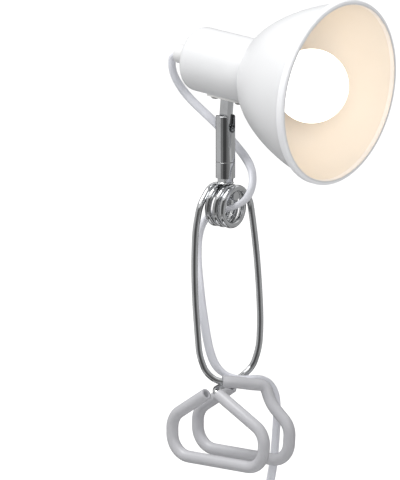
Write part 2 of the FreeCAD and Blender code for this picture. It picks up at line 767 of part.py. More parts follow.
def switch():
    z1, z0 = switch_top, switch_top - switch_length
    half_w, half_t = switch_width / 2, switch_thickness / 2
    x0, x1 = tail_x - half_w, tail_x + half_w
    y0, y1 = tail_y - half_t, tail_y + half_t
    middle_z = (z0 + z1) / 2
    case = block(x0, x1, y0, y1, z0, z1)
    case = case.makeFillet(switch_corner_r, [edge for edge in case.Edges if abs(edge.BoundBox.YLength) > 1])
    inside = block(x0 + switch_wall, x1 - switch_wall, y0 + switch_wall, y1 - switch_wall,
                   z0 + switch_wall, z1 - switch_wall)
    hollow = case.cut(inside)
    hollow = hollow.cut(rod(cord_d / 2 + cord_gap, V(tail_x, tail_y, z0), V(tail_x, tail_y, z1)))
    hole_x = rocker_width / 2 + moving_gap
    hole_z = rocker_length / 2 + moving_gap
    mouth = block(tail_x - hole_x, tail_x + hole_x, y0 - 1, y0 + switch_wall + 1,
                  middle_z - hole_z, middle_z + hole_z)
    front = hollow.common(block(x0, x1, y0, tail_y, z0, z1)).cut(mouth)
    rear = hollow.common(block(x0, x1, tail_y, y1, z0, z1))
    posts = [(x0 + switch_post_in_x, z0 + switch_post_in_z), (x1 - switch_post_in_x, z1 - switch_post_in_z)]
    screws = []
    for x, z in posts:
        parting, head_seat = V(x, tail_y, z), V(x, y1 - switch_screw_sink, z)
        rear = rear.fuse(rod(switch_post_r, parting, V(x, y1 - switch_wall, z)))
        front = front.fuse(rod(switch_post_r, V(x, y0 + switch_wall, z), parting))
        rear = rear.cut(rod(switch_screw_head_r + 2 * thread_gap, head_seat, V(x, y1, z)))
        rear = rear.cut(rod(switch_screw_r + thread_gap, parting, V(x, y1, z)))
        front = front.cut(rod(switch_screw_r + thread_gap, V(x, tail_y - 4, z), parting))
        shank = rod(switch_screw_r, V(x, tail_y - switch_screw_reach, z), head_seat)
        head = rod(switch_screw_head_r, head_seat, V(x, y1 - 0.1, z))
        screws.append(shank.fuse(head).removeSplitter())
    save("switch_front_shell", front.removeSplitter())
    save("switch_rear_shell", rear.removeSplitter())
    save("switch_screws", *screws)

    pivot = V(tail_x, y0 + rocker_pivot_depth, middle_z)
    radius, half_key = rocker_length / 2, X_AXIS * rocker_width / 2
    key = rod(radius, pivot - half_key, pivot + half_key)
    key = key.common(block(x0, x1, pivot.y - rocker_rise, pivot.y + rocker_root,
                           middle_z - radius, middle_z + radius))
    dish_y = pivot.y - rocker_dish_lift - rocker_dish_r
    key = key.cut(rod(rocker_dish_r, V(x0, dish_y, middle_z), V(x1, dish_y, middle_z)))
    half_pin = half_key + X_AXIS * rocker_pin_reach
    key = key.fuse(rod(rocker_pin_r, pivot - half_pin, pivot + half_pin)).removeSplitter()
    key.rotate(pivot, X_AXIS, -rocker_swing / 2)
    save("switch_rocker", key)
    print("rocker pivot", tuple(round(value, 3) for value in pivot))
    contacts = []
    for end in (-1, 1):
        near = middle_z + end * switch_contact_offset
        far = near + end * switch_contact_length
        half = switch_contact_width / 2
        contacts.append(block(tail_x - half, tail_x + half, y1 - switch_wall - switch_contact_thickness,
                              y1 - switch_wall, min(near, far), max(near, far)))
    save("switch_contacts", *contacts)


def plug():
    z1 = plug_top - plug_relief_length
    z0 = z1 - plug_length
    half_w, half_t = plug_width / 2, plug_thickness / 2
    waist = half_w - plug_waist_in
    face, shoulder_z = half_w - plug_face_in, z1 - plug_length * plug_shoulder_share
    outline = [V(tail_x - waist, tail_y, z1), V(tail_x + waist, tail_y, z1),
               V(tail_x + half_w, tail_y, shoulder_z),
               V(tail_x + face, tail_y, z0), V(tail_x - face, tail_y, z0),
               V(tail_x - half_w, tail_y, shoulder_z), V(tail_x - waist, tail_y, z1)]
    body = Part.Face(Part.makePolygon(outline)).extrude(Y_AXIS * plug_thickness)
    body.translate(V(0, -half_t, 0))
    body = body.makeFillet(plug_edge_round, body.Edges)
    relief = Part.makeCone(*plug_relief_r, plug_relief_length + plug_relief_root,
                           V(tail_x, tail_y, z1 - plug_relief_root), Z_AXIS)
    body = body.fuse(relief).removeSplitter()
    body = body.cut(rod(cord_d / 2 + cord_gap, V(tail_x, tail_y, plug_top - plug_cord_depth),
                        V(tail_x, tail_y, plug_top)))
    pins = []
    for side in (-1, 1):
        x = tail_x + side * pin_spacing / 2
        bare_top = V(x, tail_y, z0 - pin_sleeve_length)
        pin = rod(pin_r, V(x, tail_y, z0 - pin_length), bare_top)
        tip = [edge for edge in pin.Edges if edge.Closed
               and abs(edge.CenterOfMass.z - z0 + pin_length) < 1e-6]
        root = rod(pin_root_r, bare_top, V(x, tail_y, z0 + pin_root_length))
        pins.append(pin.makeFillet(pin_tip_round, tip).fuse(root).removeSplitter())
        body = body.fuse(rod(pin_sleeve_r, bare_top, V(x, tail_y, z0))).cut(root)
    save("plug_body", body.removeSplitter())
    save("plug_pins", *pins)
    print("plug face", round(z0, 3), "pin end", round(z0 - pin_length, 3))


clip()
stem()
head()
cord_runs(cord_route, cord_parts)
cord_runs(tail_route, {"cord_tail": None})
cord_runs(plug_route, {"cord_at_plug": None})
hank()
switch()
plug()
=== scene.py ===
import json
import math

import bmesh
import bpy
from mathutils import Matrix, Vector


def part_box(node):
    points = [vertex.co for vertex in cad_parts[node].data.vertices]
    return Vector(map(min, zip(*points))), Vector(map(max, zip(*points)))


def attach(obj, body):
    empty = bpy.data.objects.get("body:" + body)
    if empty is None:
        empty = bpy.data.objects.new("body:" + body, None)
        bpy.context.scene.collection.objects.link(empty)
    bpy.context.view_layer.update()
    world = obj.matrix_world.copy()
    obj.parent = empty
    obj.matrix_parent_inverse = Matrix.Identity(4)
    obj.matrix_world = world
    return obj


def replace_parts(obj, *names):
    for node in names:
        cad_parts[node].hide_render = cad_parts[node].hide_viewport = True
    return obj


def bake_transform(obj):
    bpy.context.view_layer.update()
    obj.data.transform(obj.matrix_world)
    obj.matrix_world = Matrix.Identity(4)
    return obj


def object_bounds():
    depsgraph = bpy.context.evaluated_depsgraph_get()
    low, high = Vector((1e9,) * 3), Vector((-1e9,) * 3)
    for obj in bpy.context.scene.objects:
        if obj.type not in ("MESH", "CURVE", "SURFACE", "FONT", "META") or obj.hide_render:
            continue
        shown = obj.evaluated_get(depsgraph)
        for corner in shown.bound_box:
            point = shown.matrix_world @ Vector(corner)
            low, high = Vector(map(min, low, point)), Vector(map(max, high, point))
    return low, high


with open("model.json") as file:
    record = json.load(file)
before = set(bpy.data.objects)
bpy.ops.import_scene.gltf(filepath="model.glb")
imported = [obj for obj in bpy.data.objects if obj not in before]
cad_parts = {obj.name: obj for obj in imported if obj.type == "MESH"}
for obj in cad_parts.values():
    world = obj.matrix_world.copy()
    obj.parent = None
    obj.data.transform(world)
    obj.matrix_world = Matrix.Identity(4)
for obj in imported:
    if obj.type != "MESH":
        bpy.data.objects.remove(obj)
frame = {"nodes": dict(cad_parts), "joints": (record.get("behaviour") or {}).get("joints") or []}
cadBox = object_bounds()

# Clip-on reading lamp. Metres, Z up, X along the board's edge, -Y the front of the board.

mm = 0.001
nodes = frame["nodes"]
joints = {joint["name"]: joint for joint in frame["joints"]}
scene = bpy.context.scene
print("frame loaded:", len(nodes), "nodes")


def middleOf(node):
    low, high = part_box(node)
    return (low + high) / 2


pivot = Vector(joints["head_tilt"]["pos_m"])
coilCentre = Vector(joints["front_arm_squeeze"]["pos_m"])

def placeOf(alongX, alongY, alongZ, origin):
    return Matrix([(alongX[i], alongY[i], alongZ[i], origin[i]) for i in range(3)] + [(0, 0, 0, 1)])


def linked(name, data):
    # a new object, put in the scene
    item = bpy.data.objects.new(name, data)
    scene.collection.objects.link(item)
    return item


# the head's own frame: X runs down the shade's axis and is 0 over the pivot, Z is up
headAxis = (middleOf("shade_ring") - middleOf("nipple_nut")).normalized()
headOrigin = middleOf("shade_ring") + headAxis * headAxis.dot(pivot - middleOf("shade_ring"))
headSide = Vector((0, 1, 0))
headPlace = placeOf(headAxis, headSide, headAxis.cross(headSide), headOrigin)
upPlace = Matrix.Rotation(math.radians(-90), 4, "Y")  # stands a turned piece's X up along Z


def headSpan(node):
    # a node's start, end and largest radius along the shade's axis
    back = headPlace.inverted()
    local = [back @ vertex.co for vertex in nodes[node].data.vertices]
    return min(p.x for p in local), max(p.x for p in local), max(math.hypot(p.y, p.z) for p in local)


# camera and stage

cameraView = {
    "azimuth": 38.3,
    "elevation": 11.6,
    "distance": 4.2,
    "lens": 510.3,
    "aimRight": -0.0156,
    "aimUp": 0.0923,
}


def viewAxes(azimuth, elevation):
    a, e = math.radians(azimuth), math.radians(elevation)
    right = Vector((math.cos(a), math.sin(a), 0))
    toward = Vector((math.sin(a) * math.cos(e), -math.cos(a) * math.cos(e), math.sin(e)))
    return right, toward.cross(right), toward


def makeCamera(view):
    right, up, toward = viewAxes(view["azimuth"], view["elevation"])
    place = right * view["aimRight"] + up * view["aimUp"] + toward * view["distance"]
    data = bpy.data.cameras.new("camera")
    data.lens = view["lens"]
    camera = linked("camera", data)
    camera.matrix_world = placeOf(right, up, toward, place)
    scene.camera = camera


makeCamera(cameraView)
print("camera set")


# node helpers

colourSocket, floatSocket, vectorSocket = "NodeSocketColor", "NodeSocketFloat", "NodeSocketVector"
countSocket = "NodeSocketInt"
skinOutputs = [("Colour", colourSocket), ("Roughness", floatSocket), ("Normal", vectorSocket)]


def newTree(name, kind, inputs, outputs):
    tree = bpy.data.node_groups.new(name, kind)
    for label, socketType, value in inputs:
        socket = tree.interface.new_socket(label, in_out="INPUT", socket_type=socketType)
        if value is not None:
            socket.default_value = value
    for label, socketType in outputs:
        tree.interface.new_socket(label, in_out="OUTPUT", socket_type=socketType)
    return tree, tree.nodes.new("NodeGroupInput").outputs, tree.nodes.new("NodeGroupOutput").inputs


def addNode(tree, kind, inputs=None, **settings):
    node = tree.nodes.new(kind)
    for key, value in settings.items():
        setattr(node, key, value)
    for socket, value in (inputs or {}).items():
        if isinstance(value, bpy.types.NodeSocket):
            tree.links.new(value, node.inputs[socket])
        else:
            node.inputs[socket].default_value = value
    return node


def calc(tree, operation, first, second=0.0):
    return addNode(tree, "ShaderNodeMath", {0: first, 1: second}, operation=operation).outputs[0]


def ramp(tree, value, low, high, start=0.0, end=1.0):
    given = {"Value": value, "From Min": low, "From Max": high, "To Min": start, "To Max": end}
    return addNode(tree, "ShaderNodeMapRange", given).outputs["Result"]


def mixColour(tree, share, first, second):
    return addNode(tree, "ShaderNodeMix", {"Factor": share, 6: first, 7: second}, data_type="RGBA").outputs[2]


def noise(tree, where, scale, detail=2.0):
    given = {"Vector": where, "Scale": scale, "Detail": detail}
    return addNode(tree, "ShaderNodeTexNoise", given).outputs["Fac"]


def bumped(tree, height, strength, distance):
    given = {"Strength": strength, "Distance": distance, "Height": height}
    return addNode(tree, "ShaderNodeBump", given).outputs["Normal"]


def newShapeTree(name, inputs):
    start, finish = ("Geometry", "NodeSocketGeometry", None), ("Material", "NodeSocketMaterial", None)
    return newTree(name, "GeometryNodeTree", [start, *inputs, finish], [("Geometry", "NodeSocketGeometry")])


def endShapeTree(tree, given, out, geometry):
    # the shape as real geometry, with the finish that the tree is given
    real = addNode(tree, "GeometryNodeRealizeInstances", {"Geometry": geometry})
    coat = addNode(tree, "GeometryNodeSetMaterial", {"Geometry": real.outputs[0],
                                                     "Material": given["Material"]})
    tree.links.new(coat.outputs[0], out["Geometry"])
    return tree


def newMaterial(name):
    material = bpy.data.materials.new(name)
    material.use_nodes = True
    return material, material.node_tree, material.node_tree.nodes["Principled BSDF"]


# surface effects that several finishes share

def makeSprayGrain():
    # a sprayed or moulded skin: slow cloudiness in its colour and gloss over a fine, shallow grain
    tree, given, out = newTree("sprayGrain", "ShaderNodeTree", [
        ("Colour", colourSocket, (0.8, 0.8, 0.8, 1)), ("Shade Colour", colourSocket, (0.7, 0.7, 0.7, 1)),
        ("Cloud Size", floatSocket, 40.0),
        ("Grain Size", floatSocket, 900.0), ("Grain Depth", floatSocket, 0.1),
        ("Roughness", floatSocket, 0.4), ("Roughness Spread", floatSocket, 0.1),
    ], skinOutputs)
    where = tree.nodes.new("ShaderNodeTexCoord").outputs["Object"]
    cloud = noise(tree, where, given["Cloud Size"], 3.0)
    grain = noise(tree, where, given["Grain Size"])
    share = ramp(tree, cloud, 0.35, 0.75)
    tree.links.new(mixColour(tree, share, given["Colour"], given["Shade Colour"]), out["Colour"])
    spread = calc(tree, "MULTIPLY", calc(tree, "SUBTRACT", cloud, 0.5), given["Roughness Spread"])
    tree.links.new(calc(tree, "ADD", given["Roughness"], spread), out["Roughness"])
    tree.links.new(bumped(tree, grain, given["Grain Depth"], 0.2 * mm), out["Normal"])
    return tree


def makePolishMarks():
    # handling marks on plated metal: faint smears in the gloss and hairlines along the piece
    tree, given, out = newTree("polishMarks", "ShaderNodeTree", [
        ("Colour", colourSocket, (0.7, 0.7, 0.7, 1)), ("Dull Colour", colourSocket, (0.6, 0.6, 0.6, 1)),
        ("Smear Size", floatSocket, 90.0),
        ("Hairline Size", floatSocket, 1400.0), ("Hairline Depth", floatSocket, 0.03),
        ("Roughness", floatSocket, 0.08), ("Smear Roughness", floatSocket, 0.1),
    ], skinOutputs)
    where = tree.nodes.new("ShaderNodeTexCoord").outputs["Object"]
    smear = ramp(tree, noise(tree, where, given["Smear Size"], 4.0), 0.45, 0.8)
    drawn = addNode(tree, "ShaderNodeMapping", {"Vector": where, "Scale": (1.0, 1.0, 0.06)}).outputs[0]
    hairline = noise(tree, drawn, given["Hairline Size"])
    tree.links.new(mixColour(tree, smear, given["Colour"], given["Dull Colour"]), out["Colour"])
    extra = calc(tree, "MULTIPLY", smear, given["Smear Roughness"])
    tree.links.new(calc(tree, "ADD", given["Roughness"], extra), out["Roughness"])
    tree.links.new(bumped(tree, hairline, given["Hairline Depth"], 0.1 * mm), out["Normal"])
    return tree


sprayGrain = makeSprayGrain()
polishMarks = makePolishMarks()


def makeFinish(name, group, look, **shader):
    material, tree, skin = newMaterial(name)
    effect = addNode(tree, "ShaderNodeGroup", node_tree=group)
    for socket, value in look.items():
        effect.inputs[socket].default_value = (*value, 1) if isinstance(value, tuple) else value
    tree.links.new(effect.outputs["Colour"], skin.inputs["Base Color"])
    tree.links.new(effect.outputs["Roughness"], skin.inputs["Roughness"])
    tree.links.new(effect.outputs["Normal"], skin.inputs["Normal"])
    for socket, value in shader.items():
        skin.inputs[socket.replace("_", " ")].default_value = value
    return material


whiteEnamel = makeFinish("whiteEnamel", sprayGrain, {
    "Colour": (0.86, 0.865, 0.875), "Shade Colour": (0.83, 0.838, 0.85), "Cloud Size": 22.0,
    "Grain Size": 1300.0, "Grain Depth": 0.14, "Roughness": 0.4, "Roughness Spread": 0.12,
}, Coat_Weight=0.15, Coat_Roughness=0.2)
innerEnamel = makeFinish("innerEnamel", sprayGrain, {
    "Colour": (0.93, 0.915, 0.885), "Shade Colour": (0.91, 0.895, 0.86), "Cloud Size": 30.0,
    "Grain Size": 1300.0, "Grain Depth": 0.16, "Roughness": 0.48, "Roughness Spread": 0.1,
})
# the rolled bead is the bell's own white enamel, here painted lighter and given a faint glow of its own:
# painted light, as if from the room
rimEnamel = makeFinish("rimEnamel", sprayGrain, {
    "Colour": (0.89, 0.895, 0.91), "Shade Colour": (0.86, 0.865, 0.885), "Cloud Size": 40.0,
    "Grain Size": 1300.0, "Grain Depth": 0.1, "Roughness": 0.45, "Roughness Spread": 0.1,
}, Emission_Color=(0.95, 0.96, 1.0, 1), Emission_Strength=0.11)
chromePlate = makeFinish("chromePlate", polishMarks, {
    "Colour": (0.60, 0.61, 0.62), "Dull Colour": (0.50, 0.505, 0.51), "Roughness": 0.06,
    "Smear Roughness": 0.07,
}, Metallic=1.0)
nickelPlate = makeFinish("nickelPlate", polishMarks, {
    "Colour": (0.62, 0.60, 0.55), "Dull Colour": (0.48, 0.46, 0.42), "Roughness": 0.2,
    "Smear Roughness": 0.15, "Hairline Depth": 0.1,
}, Metallic=1.0)
stripPlate = makeFinish("stripPlate", polishMarks, {
    "Colour": (0.90, 0.90, 0.89), "Dull Colour": (0.74, 0.74, 0.73), "Roughness": 0.3,
    "Smear Roughness": 0.12, "Hairline Depth": 0.08,
}, Metallic=1.0)
zincSteel = makeFinish("zincSteel", polishMarks, {
    "Colour": (0.42, 0.41, 0.40), "Dull Colour": (0.28, 0.26, 0.24), "Roughness": 0.28,
    "Smear Roughness": 0.2, "Hairline Depth": 0.12,
}, Metallic=1.0)
brassPlate = makeFinish("brassPlate", polishMarks, {
    "Colour": (0.62, 0.44, 0.20), "Dull Colour": (0.45, 0.30, 0.14), "Roughness": 0.25,
    "Smear Roughness": 0.2, "Hairline Depth": 0.1,
}, Metallic=1.0)
sleevePvc = makeFinish("sleevePvc", sprayGrain, {
    "Colour": (0.575, 0.575, 0.60), "Shade Colour": (0.53, 0.53, 0.555), "Cloud Size": 60.0,
    "Grain Size": 2200.0, "Grain Depth": 0.1, "Roughness": 0.42, "Roughness Spread": 0.15,
}, Coat_Weight=0.15, Coat_Roughness=0.3)
cordPvc = makeFinish("cordPvc", sprayGrain, {
    "Colour": (0.86, 0.87, 0.925), "Shade Colour": (0.82, 0.83, 0.885), "Cloud Size": 90.0,
    "Grain Size": 2500.0, "Grain Depth": 0.08, "Roughness": 0.38, "Roughness Spread": 0.15,
}, Coat_Weight=0.1, Coat_Roughness=0.3)
whitePlastic = makeFinish("whitePlastic", sprayGrain, {
    "Colour": (0.90, 0.90, 0.90), "Shade Colour": (0.87, 0.87, 0.875), "Cloud Size": 80.0,
    "Grain Size": 1800.0, "Grain Depth": 0.12, "Roughness": 0.34, "Roughness Spread": 0.12,
}, Coat_Weight=0.1)
holderPlastic = makeFinish("holderPlastic", sprayGrain, {
    "Colour": (0.80, 0.78, 0.72), "Shade Colour": (0.76, 0.74, 0.68), "Cloud Size": 80.0,
    "Grain Size": 1500.0, "Grain Depth": 0.15, "Roughness": 0.5, "Roughness Spread": 0.1,
})
solderMask = makeFinish("solderMask", sprayGrain, {
    "Colour": (0.84, 0.84, 0.82), "Shade Colour": (0.80, 0.80, 0.79), "Grain Depth": 0.05,
})
darkGlass = makeFinish("darkGlass", sprayGrain, {
    "Colour": (0.03, 0.025, 0.05), "Shade Colour": (0.05, 0.04, 0.07), "Roughness": 0.15,
})


glowLook = {
    "strength": 3.4,
    "thrownAhead": (1.0, 0.705, 0.39, 1),
    "thrownBack": (0.10, 0.072, 0.05, 1),
    "backEnd": 1.5,  # radii behind the globe's front
    "aheadFrom": 0.1,
    "seenMiddle": (1.0, 0.98, 0.93, 1),
    "seenEdge": (0.62, 0.50, 0.36, 1),
    "edgeBlend": 0.35,
    "edgeFrom": 0.6,
    "glass": (0.93, 0.92, 0.90, 1),
    "glassShade": (0.90, 0.89, 0.87, 1),
    "frostSize": 2000.0,
    "roughness": 0.3,
}


def makeOpalGlow(look):
    # the lit diffuser looks white; the light it throws is warm, and strongest ahead of the bulb
    front, radius = headSpan("bulb_globe")[1:]
    material, tree, skin = newMaterial("opalGlow")
    where = tree.nodes.new("ShaderNodeTexCoord").outputs["Object"]
    place = addNode(tree, "ShaderNodeVectorMath", {0: where, 1: headOrigin}, operation="SUBTRACT").outputs[0]
    dot = addNode(tree, "ShaderNodeVectorMath", {0: place, 1: headAxis}, operation="DOT_PRODUCT")
    along = dot.outputs["Value"]
    ahead = ramp(tree, along, front - look["backEnd"] * radius, front - look["aheadFrom"] * radius)
    thrown = mixColour(tree, ahead, look["thrownBack"], look["thrownAhead"])
    edge = addNode(tree, "ShaderNodeLayerWeight", {"Blend": look["edgeBlend"]}).outputs["Facing"]
    seen = mixColour(tree, ramp(tree, edge, look["edgeFrom"], 1.0), look["seenMiddle"], look["seenEdge"])
    direct = tree.nodes.new("ShaderNodeLightPath").outputs["Is Camera Ray"]
    tree.links.new(mixColour(tree, direct, thrown, seen), skin.inputs["Emission Color"])
    frost = noise(tree, where, look["frostSize"])
    tree.links.new(mixColour(tree, frost, look["glass"], look["glassShade"]), skin.inputs["Base Color"])
    skin.inputs["Emission Strength"].default_value = look["strength"]
    skin.inputs["Roughness"].default_value = look["roughness"]
    return material


opalGlow = makeOpalGlow(glowLook)
print("finishes made:", len(bpy.data.materials))


# mesh helpers


def eased(outline, steps=5):
    # corners given as (along, radius, softness) are rounded off
    result = []
    for index, (along, radius, soft) in enumerate(outline):
        corner = Vector((along, radius))
        if not soft:
            result.append(corner)
            continue
        before, after = outline[index - 1], outline[(index + 1) % len(outline)]
        arrive = (corner - Vector(before[:2])).normalized()
        leave = (Vector(after[:2]) - corner).normalized()
        back = soft * math.tan(arrive.angle(leave) / 2)
        start, end = corner - arrive * back, corner + leave * back
        for step in range(steps + 1):
            share = step / steps
            result.append(start * (1 - share) ** 2 + corner * (2 * share * (1 - share)) + end * share ** 2)
    return result


def inPlace(shape, place):
    # faces turned outwards, then the shape moved to where it belongs
    bmesh.ops.recalc_face_normals(shape, faces=shape.faces)
    bmesh.ops.transform(shape, matrix=place, verts=shape.verts)
    return shape


def turned(outline, place, steps=96, closed=True):
    # a turned piece: the outline spun round X, then put in its place
    shape = bmesh.new()
    rings = []
    for along, radius in outline:
        turns = [2 * math.pi * i / steps for i in range(steps if radius > 1e-7 else 1)]
        rings.append([shape.verts.new((along, radius * math.cos(turn), radius * math.sin(turn)))
                      for turn in turns])
    pairs = list(zip(rings, rings[1:])) + ([(rings[-1], rings[0])] if closed else [])
    for first, second in pairs:
        for i in range(steps if len(first) + len(second) > 2 else 0):
            j = (i + 1) % steps
            corners = [first[i % len(first)], first[j % len(first)], second[j % len(second)],
                       second[i % len(second)]]
            shape.faces.new(list(dict.fromkeys(corners)))
    return inPlace(shape, place)


def layered(layers, place, closed=False, cornerSteps=8):
    # rounded rectangles stacked along X: each layer is (along, half width, half height, corner radius)
    shape = bmesh.new()
    rings = []
    for along, halfWidth, halfHeight, corner in layers:
        ring = []
        for quarter, (signY, signZ) in enumerate(((1, 1), (-1, 1), (-1, -1), (1, -1))):
            for step in range(cornerSteps + 1):
                turn = math.pi / 2 * (quarter + step / cornerSteps)
                ring.append(shape.verts.new((along, signY * (halfWidth - corner) + corner * math.cos(turn),
                                             signZ * (halfHeight - corner) + corner * math.sin(turn))))
        rings.append(ring)
    for first, second in list(zip(rings, rings[1:])) + ([(rings[-1], rings[0])] if closed else []):
        for i in range(len(first)):
            j = (i + 1) % len(first)
            shape.faces.new((first[i], first[j], second[j], second[i]))
    if not closed:
        shape.faces.new(rings[0])
        shape.faces.new(rings[-1])
    return inPlace(shape, place)


def smoothed(mesh, sharp=38):
    # round faces shade smoothly; edges that turn by more than the angle stay crisp
    mesh.polygons.foreach_set("use_smooth", [True] * len(mesh.polygons))
    mesh.set_sharp_from_angle(angle=math.radians(sharp))


def meshObject(name, shape, finishes):
    mesh = bpy.data.meshes.new(name)
    shape.to_mesh(mesh)
    shape.free()
    for finish in finishes:
        mesh.materials.append(finish)
    return linked(name, mesh)


def asPiece(name, shape, finish, sharp=38):
    piece = meshObject(name, shape, [finish])
    smoothed(piece.data, sharp)
    return piece


def settled(piece):
    # the evaluated shape becomes a plain mesh, with no modifier left on it
    bpy.context.view_layer.update()
    graph = bpy.context.evaluated_depsgraph_get()
    mesh = bpy.data.meshes.new_from_object(piece.evaluated_get(graph), depsgraph=graph)
    name = piece.name
    bpy.data.objects.remove(piece)
    mesh.name = name
    return linked(name, mesh)


def addBevel(piece, width, angle, segments=2):
    edges = piece.modifiers.new("edges", "BEVEL")
    edges.width = width
    edges.segments = segments
    edges.limit_method = "ANGLE"
    edges.angle_limit = math.radians(angle)


def addWall(piece, thickness):
    wall = piece.modifiers.new("wall", "SOLIDIFY")
    wall.thickness = thickness
    wall.offset = -1
    return wall


def cutOut(piece, cutters, sharp, edge=0, edgeAngle=60):
    # the cutters' shapes are taken out of the piece, and the new edges are eased where a width is given
    for cutter in cutters:
        cut = piece.modifiers.new(cutter.name, "BOOLEAN")
        cut.object = cutter
        cut.solver = "EXACT"
    if edge:
        addBevel(piece, edge, edgeAngle)
    piece = settled(piece)
    for cutter in cutters:
        bpy.data.objects.remove(cutter)
    smoothed(piece.data, sharp)
    return piece


def nodeShape(node):
    # a frame node's mesh with its corners joined up
    shape = bmesh.new()
    shape.from_mesh(nodes[node].data)
    bmesh.ops.remove_doubles(shape, verts=shape.verts, dist=1e-6)
    return shape


def softened(name, node, width, finish):
    # a copy of a frame node, with its flat faces made whole and its edges rounded
    shape = nodeShape(node)
    bmesh.ops.dissolve_limit(shape, angle_limit=math.radians(0.5), verts=shape.verts, edges=shape.edges)
    piece = asPiece(name, shape, finish)
    piece.data.materials.clear()  # every face takes the one finish
    piece.data.materials.append(finish)
    addBevel(piece, width, angle=40, segments=3)
    piece = settled(piece)
    smoothed(piece.data, sharp=35)
    return piece


def grown(piece, tree, values):
    # runs a geometry tree on the piece with the values given, and keeps the result as a mesh
    modifier = piece.modifiers.new(tree.name, "NODES")
    modifier.node_group = tree
    for item in tree.interface.items_tree:
        if item.item_type == "SOCKET" and item.in_out == "INPUT" and item.name in values:
            modifier[item.identifier] = values[item.name]
    return settled(piece)


def grownAlone(name, tree, values):
    # the same for a tree that needs nothing to start from
    return grown(linked(name, bpy.data.meshes.new(name)), tree, values)


def joined(name, pieces, sharp):
    # one mesh from several, each keeping its finish
    finishes = []
    shape = bmesh.new()
    for piece in pieces:
        start = len(shape.faces)
        shape.from_mesh(piece.data)
        shape.faces.ensure_lookup_table()
        for face in shape.faces[start:]:
            finish = piece.data.materials[face.material_index]
            if finish not in finishes:
                finishes.append(finish)
            face.material_index = finishes.index(finish)
        bpy.data.objects.remove(piece)
    made = meshObject(name, shape, finishes)
    smoothed(made.data, sharp)
    return made


def standsFor(piece, body, slot, *replaced):
    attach(piece, body)
    if replaced:
        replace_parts(piece, *replaced)
    return piece


# shade


def makeBellTree():
    # a grid bent into a bowl: the radius follows throat + (mouth - throat) * (1 - (1 - t)^flank)^neck
    tree, given, out = newShapeTree("bellTree", [
        ("Start", floatSocket, 0.0), ("Depth", floatSocket, 0.06),
        ("Throat Radius", floatSocket, 0.02), ("Mouth Radius", floatSocket, 0.056),
        ("Flank", floatSocket, 1.42), ("Neck", floatSocket, 0.664),
        ("Rings", countSocket, 48), ("Segments", countSocket, 128),
    ])
    grid = addNode(tree, "GeometryNodeMeshGrid", {"Size X": 1.0, "Size Y": 1.0, "Vertices X": given["Rings"],
                                                  "Vertices Y": calc(tree, "ADD", given["Segments"], 1)})
    where = tree.nodes.new("GeometryNodeInputPosition").outputs[0]
    place = addNode(tree, "ShaderNodeSeparateXYZ", {0: where})
    even = calc(tree, "ADD", place.outputs["X"], 0.5)
    share = calc(tree, "POWER", even, 2.0)  # rings stand closer where the bowl turns fast
    angle = calc(tree, "MULTIPLY", place.outputs["Y"], 2 * math.pi)
    left = calc(tree, "POWER", calc(tree, "SUBTRACT", 1.0, share), given["Flank"])
    opened = calc(tree, "POWER", calc(tree, "SUBTRACT", 1.0, left), given["Neck"])
    spread = calc(tree, "SUBTRACT", given["Mouth Radius"], given["Throat Radius"])
    radius = calc(tree, "ADD", given["Throat Radius"], calc(tree, "MULTIPLY", spread, opened))
    bent = addNode(tree, "ShaderNodeCombineXYZ", {
        "X": calc(tree, "ADD", given["Start"], calc(tree, "MULTIPLY", given["Depth"], share)),
        "Y": calc(tree, "MULTIPLY", radius, calc(tree, "SINE", angle)),
        "Z": calc(tree, "MULTIPLY", radius, calc(tree, "COSINE", angle)),
    })
    bowl = addNode(tree, "GeometryNodeSetPosition", {"Geometry": grid.outputs["Mesh"],
                                                     "Position": bent.outputs[0]})
    closed = addNode(tree, "GeometryNodeMergeByDistance", {"Geometry": bowl.outputs[0], "Distance": 1e-6})
    smooth = addNode(tree, "GeometryNodeSetShadeSmooth", {"Geometry": closed.outputs[0]})
    return endShapeTree(tree, given, out, smooth.outputs[0])


shadeSizes = {
    "wall": 1.0 * mm,
    "flank": 1.42,
    "neck": 0.664,
    "rings": 60,
    "segments": 160,
    "flangeShare": 0.8,  # the flange's hole, as a share of the shade ring's radius
    "flangeGap": 0.2 * mm,
    "beadLength": 5.0 * mm,
    "beadThickness": 3.0 * mm,
    "beadStep": 1.7 * mm,
    "beadSoftness": 1.4 * mm,
}


def facedOut(mesh):
    # an open bowl has no inside of its own, so its top decides which way the faces look
    shape = bmesh.new()
    shape.from_mesh(mesh)
    bmesh.ops.recalc_face_normals(shape, faces=shape.faces)
    if max(shape.faces, key=lambda face: face.calc_center_median().z).normal.z < 0:
        bmesh.ops.reverse_faces(shape, faces=shape.faces)
    shape.to_mesh(mesh)
    shape.free()


